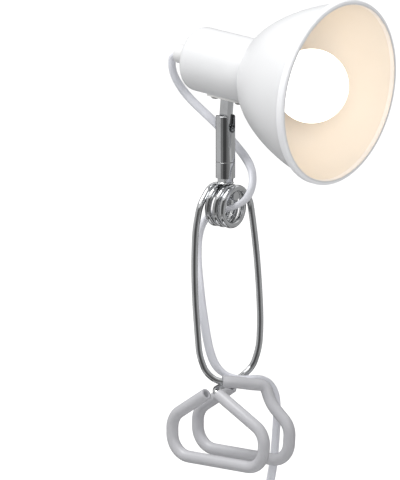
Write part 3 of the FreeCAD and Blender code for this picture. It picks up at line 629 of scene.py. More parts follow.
def makeShade(sizes):
    backEnd, mouthEnd, rimRadius = headSpan("shade")
    throatRadius = headSpan("lamp_cup")[2]
    ringLow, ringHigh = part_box("shade_ring")
    bell = grownAlone("bellSeed", makeBellTree(), {
        "Start": backEnd, "Depth": mouthEnd - backEnd, "Throat Radius": throatRadius,
        "Mouth Radius": rimRadius - sizes["beadStep"], "Flank": sizes["flank"], "Neck": sizes["neck"],
        "Rings": sizes["rings"], "Segments": sizes["segments"], "Material": whiteEnamel,
    })
    facedOut(bell.data)
    bell.data.materials.append(innerEnamel)
    addWall(bell, sizes["wall"]).material_offset = 1
    bell = settled(bell)
    bell.data.transform(headPlace)
    hole = sizes["flangeShare"] * (ringHigh.y - ringLow.y) / 2
    wide, front = throatRadius - sizes["flangeGap"], backEnd + sizes["wall"]
    flange = asPiece("shadeFlange", turned([(backEnd, hole), (front, hole), (front, wide), (backEnd, wide)],
                                           headPlace, steps=128), whiteEnamel)
    innerRadius, soft = rimRadius - sizes["beadThickness"], sizes["beadSoftness"]
    beadStart = mouthEnd - sizes["beadLength"]
    # the bead takes the enamel with painted light: lighter than the bell, with a faint painted glow
    bead = asPiece("shadeBead", turned(eased([
        (beadStart, innerRadius, soft), (beadStart, rimRadius, soft),
        (mouthEnd, rimRadius, soft), (mouthEnd, innerRadius, soft),
    ]), headPlace, steps=sizes["segments"]), rimEnamel)
    standsFor(joined("shadeBell", [bell, flange, bead], sharp=50), "head", "white_enamel", "shade")


makeShade(shadeSizes)
print("shade made")


# cup, gland and neck

cupSizes = {
    "wall": 1.0 * mm,
    "edge": 5.0 * mm,
    "lip": 0.4 * mm,
    "nippleHole": 5.1 * mm,
}


def makeCup(sizes):
    backEnd, frontEnd, radius = headSpan("lamp_cup")
    wall, edge, hole = sizes["wall"], sizes["edge"], sizes["nippleHole"]
    outline = eased([
        (backEnd, hole, 0), (backEnd, radius, edge), (frontEnd, radius, sizes["lip"]),
        (frontEnd, radius - wall, 0), (backEnd + wall, radius - wall, edge - wall), (backEnd + wall, hole, 0),
    ], steps=9)
    cup = asPiece("lampCup", turned(outline, headPlace, steps=128), whiteEnamel, sharp=50)
    standsFor(cup, "head", "white_enamel", "lamp_cup")


glandSizes = {
    "softness": 1.2 * mm,
    "cordHole": 2.6 * mm,
    "cordHoleEdge": 0.5 * mm,
    "nippleDepth": 7.0 * mm,
    "collarLength": 2.2 * mm,
    "collarRise": 0.5 * mm,
    "collarEdge": 0.3 * mm,
    "stepEdge": 0.2 * mm,
}


def makeGland(sizes):
    backEnd, frontEnd, radius = headSpan("cord_gland")
    step, slim, edge = frontEnd - sizes["collarLength"], radius - sizes["collarRise"], sizes["collarEdge"]
    nippleEnd, nippleHole = frontEnd - sizes["nippleDepth"], cupSizes["nippleHole"]
    outline = eased([
        (backEnd, sizes["cordHole"], sizes["cordHoleEdge"]), (backEnd, slim, sizes["softness"]),
        (step, slim, sizes["stepEdge"]), (step, radius, edge), (frontEnd, radius, edge),
        (frontEnd, nippleHole, 0), (nippleEnd, nippleHole, 0), (nippleEnd, sizes["cordHole"], 0),
    ])
    gland = asPiece("cordGland", turned(outline, headPlace), whitePlastic)
    standsFor(gland, "head", "white_plastic", "cord_gland")


makeCup(cupSizes)
makeGland(glandSizes)
print("cup and gland made")


# bulb

bulbSizes = {
    "wall": 1.0 * mm,
    "latitudes": 40,
    "collarBackShare": 0.55,  # of the collar's wide end
    "collarBackWall": 1.2 * mm,
    "collarBackEdge": 0.6 * mm,
    "collarBackRun": 2.5 * mm,
    "collarBackRise": 0.4 * mm,
    "collarFlare": 2.0 * mm,
    "collarRimRun": 1.5 * mm,
    "collarRimSoftness": 1.5 * mm,
    "collarRimWall": 1.4 * mm,
    "collarRimEdge": 0.3 * mm,
}


def makeBulb(sizes):
    neckEnd, frontEnd, radius = headSpan("bulb_globe")
    centre = frontEnd - radius
    neckAngle = math.acos((neckEnd - centre) / radius)

    def globeSkin(size, steps):
        turns = [neckAngle * i / sizes["latitudes"] for i in steps]
        return [(centre + size * math.cos(turn), size * math.sin(turn)) for turn in turns]

    outer = globeSkin(radius, range(sizes["latitudes"] + 1))
    inner = globeSkin(radius - sizes["wall"], range(sizes["latitudes"], -1, -1))
    globe = asPiece("bulbGlobe", turned(outer + inner, headPlace, closed=False), opalGlow, sharp=60)
    standsFor(globe, "head", "opal", "bulb_globe")
    backEnd, wideEnd, wide = headSpan("bulb_collar")
    narrow, rimAt = sizes["collarBackShare"] * wide, wideEnd - sizes["collarRimRun"]
    collar = asPiece("bulbCollar", turned(eased([
        (backEnd, narrow - sizes["collarBackWall"], 0), (backEnd, narrow, sizes["collarBackEdge"]),
        (backEnd + sizes["collarBackRun"], narrow + sizes["collarBackRise"], sizes["collarFlare"]),
        (rimAt, wide, sizes["collarRimSoftness"]), (wideEnd, wide, sizes["collarRimEdge"]),
        (wideEnd, wide - sizes["collarRimWall"], 0), (rimAt, wide - sizes["collarRimWall"], 0),
    ]), headPlace), whitePlastic)
    standsFor(collar, "head", "white_plastic", "bulb_collar")


makeBulb(bulbSizes)
print("bulb made")


# barrel

barrelSizes = {
    "topSoftness": 1.0 * mm,
    "edgeSoftness": 0.25 * mm,
    "slotWidth": 6.6 * mm,
    "slotDepth": 10.4 * mm,
    "slotEdge": 0.15 * mm,
    "slotSteps": 24,
}
washerSizes = {
    "hole": 2.1 * mm,
    "footInset": 0.3 * mm,
    "footEdge": 0.2 * mm,
    "rimHeight": 0.5 * mm,
    "rimEdge": 0.3 * mm,
    "topInset": 0.7 * mm,
    "topEdge": 0.4 * mm,
}


def roundBar(name, bottom, top, radius, bottomEdge, topEdge):
    outline = eased([(bottom, 0, 0), (bottom, radius, bottomEdge), (top, radius, topEdge), (top, 0, 0)])
    return asPiece(name, turned(outline, upPlace, steps=128, closed=False), chromePlate)


def slotCutter(top, radius, sizes):
    # a round-bottomed slot, open at the top, right through along X
    half = sizes["slotWidth"] / 2
    roundAt = top - sizes["slotDepth"] + half
    turns = [math.pi * i / sizes["slotSteps"] for i in range(sizes["slotSteps"] + 1)]
    corners = [(half * math.cos(turn), roundAt - half * math.sin(turn)) for turn in turns]
    corners += [(-half, top + radius), (half, top + radius)]
    shape = bmesh.new()
    face = shape.faces.new([shape.verts.new((-2 * radius, y, z)) for y, z in corners])
    grownFace = bmesh.ops.extrude_face_region(shape, geom=[face])
    bmesh.ops.translate(shape, vec=(4 * radius, 0, 0),
                        verts=[item for item in grownFace["geom"] if isinstance(item, bmesh.types.BMVert)])
    bmesh.ops.recalc_face_normals(shape, faces=shape.faces)
    return asPiece("slotCutter", shape, chromePlate)


def makeBarrel(sizes):
    low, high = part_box("upper_barrel")
    radius, edge = (high.y - low.y) / 2, sizes["edgeSoftness"]
    barrel = roundBar("upperBarrel", low.z, high.z, radius, edge, sizes["topSoftness"])
    slot = slotCutter(high.z, radius, sizes)
    barrel = cutOut(barrel, [slot], sharp=35, edge=sizes["slotEdge"], edgeAngle=50)
    standsFor(barrel, "swivel", "chrome", "upper_barrel")
    low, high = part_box("lower_barrel")
    lower = roundBar("lowerBarrel", low.z, high.z, radius, edge, edge)
    standsFor(lower, "base", "chrome", "lower_barrel")


def makeWasher(sizes):
    low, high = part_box("saddle_washer")
    wide = (high.y - low.y) / 2
    washer = asPiece("saddleWasher", turned(eased([
        (low.z, sizes["hole"], 0), (low.z, wide - sizes["footInset"], sizes["footEdge"]),
        (low.z + sizes["rimHeight"], wide, sizes["rimEdge"]),
        (high.z, wide - sizes["topInset"], sizes["topEdge"]), (high.z, sizes["hole"], 0),
    ]), upPlace), chromePlate)
    standsFor(washer, "base", "chrome", "saddle_washer")


makeBarrel(barrelSizes)
makeWasher(washerSizes)
print("barrel made")


# wire clip


def makeSweepTree():
    # a bar along a path; each point's radius says how widely the path bends there
    tree, given, out = newShapeTree("sweepTree", [
        ("Bar Radius", floatSocket, 0.002), ("Sides", countSocket, 32), ("Bend Steps", countSocket, 14),
        ("Closed Ends", "NodeSocketBool", True),
    ])
    bend = tree.nodes.new("GeometryNodeInputRadius").outputs[0]
    path = addNode(tree, "GeometryNodeFilletCurve", {
        "Curve": given["Geometry"], "Radius": bend, "Count": given["Bend Steps"]}, mode="POLY")
    plain = addNode(tree, "GeometryNodeSetCurveRadius", {"Curve": path.outputs[0], "Radius": 1.0})
    ring = addNode(tree, "GeometryNodeCurvePrimitiveCircle", {"Resolution": given["Sides"],
                                                              "Radius": given["Bar Radius"]})
    bar = addNode(tree, "GeometryNodeCurveToMesh", {
        "Curve": plain.outputs[0], "Profile Curve": ring.outputs[0], "Fill Caps": given["Closed Ends"]})
    smooth = addNode(tree, "GeometryNodeSetShadeSmooth", {"Geometry": bar.outputs[0]})
    return endShapeTree(tree, given, out, smooth.outputs[0])


sweepTree = makeSweepTree()


def newSpline(name, kind, points):
    data = bpy.data.curves.new(name, "CURVE")
    data.dimensions = "3D"
    spline = data.splines.new(kind)
    spline.points.add(len(points) - 1)
    for item, point in zip(spline.points, points):
        item.co = (*point, 1)
    return data, spline


def bentBar(name, points, bends, radius, finish=chromePlate, sides=32, bendSteps=14, closedEnds=True):
    data, spline = newSpline(name, "POLY", points)
    spline.points.foreach_set("radius", bends)
    return grown(linked(name, data), sweepTree, {
        "Bar Radius": radius, "Sides": sides, "Bend Steps": bendSteps, "Closed Ends": closedEnds,
        "Material": finish,
    })


clipSizes = {
    "wireRadius": 2.0 * mm,
    "sleeveRadius": 3.75 * mm,
    "sleeveWall": 1.55 * mm,
    "sleeveLip": 0.35 * mm,
    "sleeveOverhang": 5.0 * mm,
    "jawDistance": 12.75 * mm,
    "bendShare": 0.45,  # of the shorter run beside a bend
    "meanRadius": 11.65 * mm,
    "coilInner": 3.2 * mm,
    "coilOuter": 7.9 * mm,
    "coilStep": 5,  # degrees
    "exitAngle": 45,
}
# the jaw's corners (x, z) and how widely the wire bends at each, in millimetres
jawCorners = [(40.6, -20.0), (39.2, -42.6), (-31.6, -43.0), (-31.6, -19.3), (-4.6, -1.2)]
jawBends = [12.0, 12.5, 13.0, 13.0]
# each arm from the coil to the jaw, in millimetres; its first runs have no sleeve on them
frontArm = {
    "startRun": 9.8 * mm,
    "bareRuns": 8,
    "points": [(-7.9, -19.6, 103), (-7.9, -20.8, 82), (-7.9, -20.0, 60), (-7.4, -18.2, 38), (-6.2, -17.9, 24),
               (-3.4, -15.4, 13.4), (1.6, -11.2, 7.6), (11, -0.8, 6.2), (16.5, 6.3, 4.4), (21.2, 12.9, 3.6),
               (25.8, 12.75, -7.6)],
}
rearArm = {
    "startRun": 8.7 * mm,
    "bareRuns": 12,
    "points": [(7.9, 17.8, 102.5), (7.9, 21.4, 82), (7.9, 23.9, 60), (7.9, 25.2, 40), (6.9, 25.2, 23.5),
               (3.6, 23.0, 11.0), (0.6, 15.0, 5.2), (-1.2, 5.8, 3.0), (-1.2, -3.4, 2.2), (0.2, -9.6, 2.0),
               (2.6, -12.75, 1.1)],
}


def easyBends(points):
    # the bends that the runs beside each point allow
    bends = []
    for before, corner, after in zip(points, points[1:], points[2:]):
        arrive, leave = corner - before, after - corner
        run = clipSizes["bendShare"] * min(arrive.length, leave.length)
        bends.append(run / math.tan(arrive.angle(leave) / 2))
    return bends


def coilPoint(angle, x):
    # angle 0 is the top of the coil and grows towards the front
    turn = math.radians(angle)
    radius = clipSizes["meanRadius"]
    return coilCentre + Vector((x, -radius * math.sin(turn), radius * math.cos(turn)))


def armRoute(arm, side):
    # from the coil's exit down to the jaw
    turn = math.radians(clipSizes["exitAngle"])
    leave = coilPoint(side * clipSizes["exitAngle"], -side * clipSizes["coilOuter"])
    away = Vector((0, -side * math.cos(turn), -math.sin(turn)))
    return [leave, leave + away * arm["startRun"]] + [Vector(point) * mm for point in arm["points"]]


def makeArm(wireName, sleeveName, arm, side):
    route = armRoute(arm, side)
    points = route + [Vector((x * mm, side * clipSizes["jawDistance"], z * mm)) for x, z in jawCorners]
    bends = [0.0] + easyBends(points[:len(route) + 1]) + [bend * mm for bend in jawBends] + [0.0]
    back = (points[-2] - points[-1]).normalized() * clipSizes["sleeveOverhang"]
    wire = bentBar(wireName, points[:-1] + [points[-1] + back], bends, clipSizes["wireRadius"])
    smoothed(wire.data, sharp=50)
    # the sleeve starts where its first bend has ended
    first = arm["bareRuns"]
    before, corner, after = points[first - 1:first + 2]
    run = clipSizes["bendShare"] * min((corner - before).length, (after - corner).length)
    start = corner + (after - corner).normalized() * run
    sleeve = bentBar(sleeveName, [start] + points[first + 1:], [0.0] + bends[first + 1:],
                     clipSizes["sleeveRadius"], finish=sleevePvc, sides=40, bendSteps=18, closedEnds=False)
    addWall(sleeve, clipSizes["sleeveWall"]).use_even_offset = True
    addBevel(sleeve, clipSizes["sleeveLip"], angle=60)
    sleeve = settled(sleeve)
    smoothed(sleeve.data, sharp=50)
    return wire, sleeve


def makeCoilHalf(name, side):
    # from the middle of the coil out to the exit on one side: a turn and a half and the lead-in
    inner, outer = clipSizes["coilInner"], clipSizes["coilOuter"]
    tops = [-outer, -inner, inner, outer]  # where the wire passes the top of the coil, turn by turn
    turnCount = len(tops) - 1
    stepsPerTurn, leadSteps = 360 // clipSizes["coilStep"], clipSizes["exitAngle"] // clipSizes["coilStep"]
    points = []
    for step in range(-leadSteps, turnCount * stepsPerTurn + leadSteps + 1):
        turns = min(max(step / stepsPerTurn, 0), turnCount)
        index = min(int(turns), turnCount - 1)
        share = turns - index
        # it moves sideways in two easy swings a turn
        moved = (1 - math.cos(2 * math.pi * (share % 0.5))) / 4 + (0.5 if share >= 0.5 else 0)
        if share == 1:
            moved = 1
        x = tops[index] + (tops[index + 1] - tops[index]) * moved
        if (step - turnCount / 2 * stepsPerTurn) * side <= 0:
            points.append(coilPoint(-clipSizes["coilStep"] * step, x))
    coil = bentBar(name, points, [0.0] * len(points), clipSizes["wireRadius"], bendSteps=1)
    smoothed(coil.data, sharp=50)
    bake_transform(coil)
    return coil


def makeClip():
    wire, sleeve = makeArm("frontArmWire", "rearJawSleeve", frontArm, 1)
    standsFor(wire, "front_arm", "chrome", "front_arm_wire")
    standsFor(sleeve, "front_arm", "sleeve_pvc", "rear_jaw_sleeve")
    wire, sleeve = makeArm("rearArmWire", "frontJawSleeve", rearArm, -1)
    standsFor(wire, "rear_arm", "chrome", "rear_arm_wire")
    standsFor(sleeve, "rear_arm", "sleeve_pvc", "front_jaw_sleeve")
    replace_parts(makeCoilHalf("coilFront", 1), "spring_coil")
    makeCoilHalf("coilRear", -1)


makeClip()
print("wire clip made")


# cord

cordSizes = {
    "width": 5.4 * mm,
    "thickness": 3.4 * mm,
    "sectionSteps": 28,
    "curveSteps": 10,
    "grooveDepth": 0.16,  # both as shares of half the thickness
    "grooveWidth": 0.3,
}

# the cord's route in millimetres, from the gland to the hank and from the hank to the plug
headRoute = [
    (-29.9, 0, 206.3), (-41.5, 0, 207.3), (-43.0, 1.0, 196), (-40.5, 4.5, 186.5), (-35.2, 9.5, 177),
    (-26, 13, 168.6), (-15.5, 14.6, 160.6), (-6.95, 14.0, 154.35),
]
barrelRoute = [
    (-6.95, 14.0, 154.35), (1.6, 13.4, 148.1), (11.3, 9, 142.5), (18.6, 3.2, 138.0), (22.8, -2, 131.6),
    (20.4, -4, 123.6), (12.4, -2.6, 118.1), (0, -0.5, 112.9), (-4.9, -0.45, 111.65),
]
armCordRoute = [
    (-4.9, -0.45, 111.65), (-9.8, -0.4, 110.4), (-16.2, -1.2, 104.2), (-17.4, -5.2, 94.6), (-14.6, -9.6, 82),
    (-11.2, -11.8, 69), (-9.0, -12.2, 55), (-7.0, -12.0, 44), (-5.4, -11.4, 33.5), (-4.0, -9.6, 23.4),
    (-2.6, -6.2, 15.4), (0.4, -1.4, 9.8), (3.3, 1.1, 8.7),
]
boardRoute = [
    (3.3, 1.1, 8.7), (6.2, 3.6, 7.6), (9.7, 9.4, 6.6), (11.8, 16.4, 6.4), (12.4, 27, 3.2), (12.4, 35, -6),
    (12.2, 36.8, -19), (12.0, 35.6, -35), (12.0, 33.4, -52), (8.9, 31.6, -70.9), (2.6, 30.0, -81.0),
]
hankStart = [(2.6, 30.0, -81.0), (-3.1, 28.6, -90.1)]
tailRoute = [
    (29.0, 34.2, -92), (25.4, 33.2, -80), (27.0, 32.0, -68.6), (39.0, 31.5, -62.7), (51.6, 31.5, -68.6),
    (54.0, 31.5, -80), (54.0, 31.5, -96.6),
]
plugRoute = [(54.0, 31.5, -139.4), (54.0, 31.5, -151.5), (54.0, 31.5, -164.0)]

# the spare cord is folded into two layers of turns, out of view behind the board; in millimetres
hankSizes = {
    "centre": (12.0, -124.0),
    "halfStraight": 21.0,
    "outerRadius": 17.2,
    "turnSpacing": 3.5,
    "frontLayer": 28.75,
    "rearLayer": 34.25,
    "turnsPerLayer": 2,
    "arcSteps": 8,
}


def hankTurn(sizes, startRadius, endRadius, depth):
    # one turn from the top of the left run: down, round the bottom, up, and over the top
    middle, height = sizes["centre"]
    steps, straight = sizes["arcSteps"], sizes["halfStraight"]
    points = []
    for end, radius, change in ((-1, startRadius, 0), (1, startRadius, endRadius - startRadius)):
        for step in range(steps + 1):
            turn = math.pi * step / steps
            reach = radius + change * min(step / (steps - 1), 1)
            points.append((middle + end * reach * math.cos(turn), depth,
                           height + end * (straight + reach * math.sin(turn))))
    return points


def hankRoute(sizes):
    radius, spacing = sizes["outerRadius"], sizes["turnSpacing"]
    middle, height = sizes["centre"]
    top = height + sizes["halfStraight"]
    route = hankStart + [(middle - radius, sizes["frontLayer"], top)]
    for layer, change in (("frontLayer", -spacing), ("rearLayer", spacing)):
        for turn in range(sizes["turnsPerLayer"]):
            route += hankTurn(sizes, radius, radius + change, sizes[layer])
            radius += change
    last = hankTurn(sizes, radius, radius, sizes["rearLayer"])
    return route + last[:sizes["arcSteps"] + 1] + [(middle + radius, sizes["rearLayer"], top)] + tailRoute


def routeLine(route):
    # points along the smooth curve that the route steers
    data, spline = newSpline("cordRoute", "NURBS", [Vector(point) * mm for point in route])
    data.resolution_u = cordSizes["curveSteps"]
    spline.order_u = 3
    spline.use_endpoint_u = True
    line = settled(linked("cordRoute", data))
    points = [vertex.co.copy() for vertex in line.data.vertices]
    bpy.data.objects.remove(line)
    return points


def lineLength(points):
    return sum((after - before).length for before, after in zip(points, points[1:]))


def laid(points, facing):
    # the flat cord's wide direction at each point, eased between the directions given along the way
    sides = []
    gone, whole = 0.0, lineLength(points)
    for index, point in enumerate(points):
        before, after = points[max(index - 1, 0)], points[min(index + 1, len(points) - 1)]
        if index:
            gone += (point - before).length
        share = min(gone / whole, 1.0)
        stop = next(i for i in range(1, len(facing)) if share <= facing[i][0] + 1e-6)
        (low, first), (high, second) = facing[stop - 1], facing[stop]
        ease = min(max((share - low) / (high - low), 0.0), 1.0)
        ease = ease * ease * (3 - 2 * ease)
        along = (after - before).normalized()
        side = Vector(first).lerp(Vector(second), ease)
        side = (side - along * side.dot(along)).normalized()
        sides.append((side, along.cross(side)))
    return sides


def cordSection(sizes):
    # two cores side by side under one sheath, with a shallow groove between them
    half, offset = sizes["thickness"] / 2, (sizes["width"] - sizes["thickness"]) / 2
    section = []
    for step in range(sizes["sectionSteps"]):
        turn = 2 * math.pi * (step + 0.5) / sizes["sectionSteps"]
        across = (offset if math.cos(turn) > 0 else -offset) + half * math.cos(turn)
        groove = sizes["grooveDepth"] * math.exp(-(across / (sizes["grooveWidth"] * half)) ** 2)
        section.append((across, half * math.sin(turn) * (1 - groove)))
    return section


def flatCord(name, points, sides):
    section = cordSection(cordSizes)
    shape = bmesh.new()
    rings = [[shape.verts.new(point + side * across + up * lift) for across, lift in section]
             for point, (side, up) in zip(points, sides)]
    count = len(section)
    for first, second in zip(rings, rings[1:]):
        for i in range(count):
            j = (i + 1) % count
            shape.faces.new((first[i], second[i], second[j], first[j]))
    shape.faces.new(rings[0])
    shape.faces.new(reversed(rings[-1]))
    bmesh.ops.recalc_face_normals(shape, faces=shape.faces)
    return asPiece(name, shape, cordPvc, sharp=60)


# the ways that the flat cord's width lies, at shares of each piece's length
across, slantwise, alongBoard = (0, 1, 0), (0.785, 0.62, 0), (1, 0, 0)
diagonal, loopWay, overEdge = (0.48, 0.55, 0.65), (0.1, 0.95, -0.3), (0.83, -0.55, 0)
cordPieces = [
    {"name": "cordAtHead", "route": headRoute, "nodes": ["cord_at_head"], "blend": ("head", "swivel"),
     "facing": [(0, across), (0.25, across), (0.6, diagonal), (1, diagonal)]},
    {"name": "cordAtBarrel", "route": barrelRoute, "nodes": ["cord_at_barrel"], "blend": ("swivel", "base"),
     "facing": [(0, diagonal), (0.15, diagonal), (0.5, loopWay), (1, across)]},
    {"name": "cordAtArm", "route": armCordRoute, "nodes": ["cord_at_arm"], "blend": ("base", "front_arm"),
     "turned": (0, 0.5),
     "facing": [(0, across), (0.1, across), (0.4, slantwise), (0.85, slantwise), (1, alongBoard)]},
    {"name": "cordBehindBoard", "route": boardRoute, "nodes": ["cord_behind_board"],
     "blend": ("front_arm", "base"), "turned": (0.5, 1),
     "facing": [(0, alongBoard), (0.15, overEdge), (0.4, alongBoard), (0.6, alongBoard), (1, across)]},
    {"name": "cordAtPlug", "route": plugRoute, "nodes": ["cord_at_plug"],
     "facing": [(0, alongBoard), (1, alongBoard)]},
    {"name": "cordHank", "route": hankRoute(hankSizes), "nodes": ["cord_hank", "cord_tail"],
     "facing": [(0, across), (0.955, across), (0.99, alongBoard), (1, alongBoard)]},
]


def makeCord(pieces, onCord):
    for piece in pieces:
        line = routeLine(piece["route"])
        cord = flatCord(piece["name"], line, laid(line, piece["facing"]))
        if "blend" in piece:
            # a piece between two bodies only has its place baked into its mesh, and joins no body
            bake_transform(cord)
        else:
            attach(cord, "base")
        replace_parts(cord, *piece["nodes"])
        print(piece["name"], "length", round(lineLength(line), 4))
        if piece["name"] == "cordAtPlug":
            onCord.append(cord)  # too short to be a cord of its own
            continue


# screws and neck bracket


def screwPlaces(node):
    # the middle of each separate screw in a node
    mesh = nodeShape(node)
    places, left = [], set(mesh.verts)
    while left:
        group, edge = set(), [left.pop()]
        while edge:
            vertex = edge.pop()
            group.add(vertex)
            for link in vertex.link_edges:
                other = link.other_vert(vertex)
                if other in left:
                    left.remove(other)
                    edge.append(other)
        low = Vector([min(v.co[i] for v in group) for i in range(3)])
        high = Vector([max(v.co[i] for v in group) for i in range(3)])
        places.append((low + high) / 2)
    mesh.free()
    return sorted(places, key=lambda place: place.x)


def makeScrewTree():
    # the same screw on every point, each one's slot turned its own way
    tree, given, out = newShapeTree("screwTree", [
        ("Screw", "NodeSocketObject", None), ("Facing", vectorSocket, (0, 0, 0)), ("Seed", countSocket, 3),
    ])
    screw = addNode(tree, "GeometryNodeObjectInfo", {"Object": given["Screw"]})
    spin = addNode(tree, "FunctionNodeRandomValue", {"Seed": given["Seed"]}, data_type="FLOAT")
    turn = addNode(tree, "ShaderNodeCombineXYZ", {"X": calc(tree, "MULTIPLY", spin.outputs[1], math.pi)})
    stands = addNode(tree, "GeometryNodeInstanceOnPoints", {
        "Points": given["Geometry"], "Instance": screw.outputs["Geometry"], "Rotation": given["Facing"]})
    spun = addNode(tree, "GeometryNodeRotateInstances", {"Instances": stands.outputs[0],
                                                         "Rotation": turn.outputs[0]})
    return endShapeTree(tree, given, out, spun.outputs[0])


screwTree = makeScrewTree()
screwShape = {
    # (along, radius, softness), the radius as a share of the head's radius and the rest of its height
    "outline": [(0, 0, 0), (0, 1, 0), (0.45, 1, 0.2), (0.85, 0.7, 0.3), (1, 0.25, 0.1), (1, 0, 0)],
    "slotWidth": 0.3,
    "seed": 3,
}


def makeScrews(name, seats, facing, radius, height):
    # domed heads with a slot; the screw's own X points out of the surface
    outline = [(along * height, out * radius, soft * height) for along, out, soft in screwShape["outline"]]
    head = asPiece("screwHead", turned(eased(outline), Matrix.Identity(4), steps=32, closed=False), zincSteel)
    slot = bmesh.new()
    bmesh.ops.create_cube(slot, size=1)
    bmesh.ops.scale(slot, vec=(height, 4 * radius, screwShape["slotWidth"] * radius), verts=slot.verts)
    bmesh.ops.translate(slot, vec=(height, 0, 0), verts=slot.verts)
    head = cutOut(head, [asPiece("slotCutter", slot, zincSteel)], sharp=35)
    points = bpy.data.meshes.new(name)
    points.from_pydata(seats, [], [])
    screws = grown(linked(name, points), screwTree, {
        "Screw": head, "Facing": facing, "Seed": screwShape["seed"], "Material": zincSteel})
    bpy.data.objects.remove(head)
    return screws


bracketSizes = {
    "edge": 0.3 * mm,
    "stripRadius": 21.2 * mm,
    "lugRise": 0.2 * mm,
    "screwRadius": 2.5 * mm,
    "screwHeight": 1.5 * mm,
}


def makeBracket(sizes):
    bracket = softened("neckBracket", "neck_bracket", sizes["edge"], stripPlate)
    bracket.data.materials.append(chromePlate)
    back = headPlace.inverted()
    for face in bracket.data.polygons:
        centre = back @ face.center
        if math.hypot(centre.y, centre.z) > sizes["stripRadius"] + sizes["lugRise"]:
            face.material_index = 1  # what stands out from the strip is bright
    standsFor(bracket, "head", "chrome", "neck_bracket")
    seats = [((back @ point).x, 0, -sizes["stripRadius"]) for point in screwPlaces("bracket_screws")]
    screws = makeScrews("bracketScrews", seats, (0, math.pi / 2, 0),
                        sizes["screwRadius"], sizes["screwHeight"])
    screws.data.transform(headPlace)
    standsFor(screws, "head", "steel", "bracket_screws")


makeBracket(bracketSizes)
print("bracket made")


# tie, switch and plug

frontPlace = Matrix.Rotation(math.radians(-90), 4, "Z")  # turns a layered piece's X to face the front
rearPlace = Matrix.Rotation(math.radians(90), 4, "Z")
downPlace = Matrix.Rotation(math.radians(90), 4, "Y")

tieSizes = {
    "wall": 1.2 * mm,
    "corner": 4.0 * mm,
    "edge": 0.4 * mm,
    "lockHalfWidth": 4.6 * mm,
    "lockHalfHeight": 3.8 * mm,
    "lockDepth": 2.4 * mm,
    "lockCorner": 1.0 * mm,
    "lockEdge": 0.3 * mm,
    "lockCrown": 0.6 * mm,
    "tailLength": 9.0 * mm,
    "tailHalfThickness": 0.5 * mm,
    "tailLift": 0.6 * mm,
    "tailEdge": 0.3 * mm,
}


def makeTie(sizes):
    low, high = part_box("cord_tie")
    middle, half = (low + high) / 2, (high - low) / 2
    wall, edge, corner = sizes["wall"], sizes["edge"], sizes["corner"]
    outline = [(-half.z + edge, 0), (half.z - edge, 0), (half.z, edge), (half.z, wall - edge),
               (half.z - edge, wall), (-half.z + edge, wall), (-half.z, wall - edge), (-half.z, edge)]
    layers = [(along, half.y - inset, half.x - inset, corner - inset) for along, inset in outline]
    place = Matrix.Translation(middle) @ upPlace
    band = asPiece("tieBand", layered(layers, place, closed=True), whitePlastic)
    wide, tall, deep = sizes["lockHalfWidth"], sizes["lockHalfHeight"], sizes["lockDepth"]
    corner, slim, crown = sizes["lockCorner"], sizes["lockEdge"], sizes["lockCrown"]
    place = Matrix.Translation((middle.x, low.y + wall / 2, middle.z)) @ frontPlace
    lock = asPiece("tieLock", layered([
        (0, wide - slim, tall - slim, corner - slim), (slim, wide, tall, corner), (deep, wide, tall, corner),
        (deep + crown, wide - crown, tall - crown, crown),
    ], place), whitePlastic)
    reach, thick, slim = wide + sizes["tailLength"], sizes["tailHalfThickness"], sizes["tailEdge"]
    place = Matrix.Translation((middle.x + reach / 2, low.y - sizes["tailLift"], middle.z)) @ frontPlace
    tail = asPiece("tieTail", layered([
        (-thick, reach / 2, half.z - edge, edge), (thick - slim, reach / 2, half.z - edge, edge),
        (thick, reach / 2 - slim, half.z - edge - slim, edge),
    ], place), whitePlastic)
    return standsFor(joined("cordTie", [band, lock, tail], sharp=50), "base", "white_plastic", "cord_tie")


switchSizes = {
    "corner": 4.0 * mm,
    "crown": 1.6 * mm,
    "crownSteps": 6,
    "wall": 1.6 * mm,
    "partingEdge": 0.25 * mm,
    "mouthHalfWidth": 5.25 * mm,
    "mouthHalfLength": 8.75 * mm,
    "mouthCorner": 0.5 * mm,
    "mouthLip": 0.25 * mm,
    "rockerEdge": 0.5 * mm,
    "recessRadius": 2.1 * mm,
    "recessDepth": 1.2 * mm,
    "screwRadius": 1.9 * mm,
    "screwHeight": 1.0 * mm,
}


def makeShell(name, node, place, sizes):
    low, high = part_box(node)
    half = (high - low) / 2
    depth, corner, crown, edge = high.y - low.y, sizes["corner"], sizes["crown"], sizes["partingEdge"]
    layers = [(0, half.x - edge, half.z - edge, corner - edge), (edge, half.x, half.z, corner)]
    for step in range(sizes["crownSteps"] + 1):
        turn = math.radians(90 * step / sizes["crownSteps"])
        inset = crown * (1 - math.cos(turn))
        along = depth - crown + crown * math.sin(turn)
        layers.append((along, half.x - inset, half.z - inset, corner - inset))
    return asPiece(name, layered(layers, place), whitePlastic)


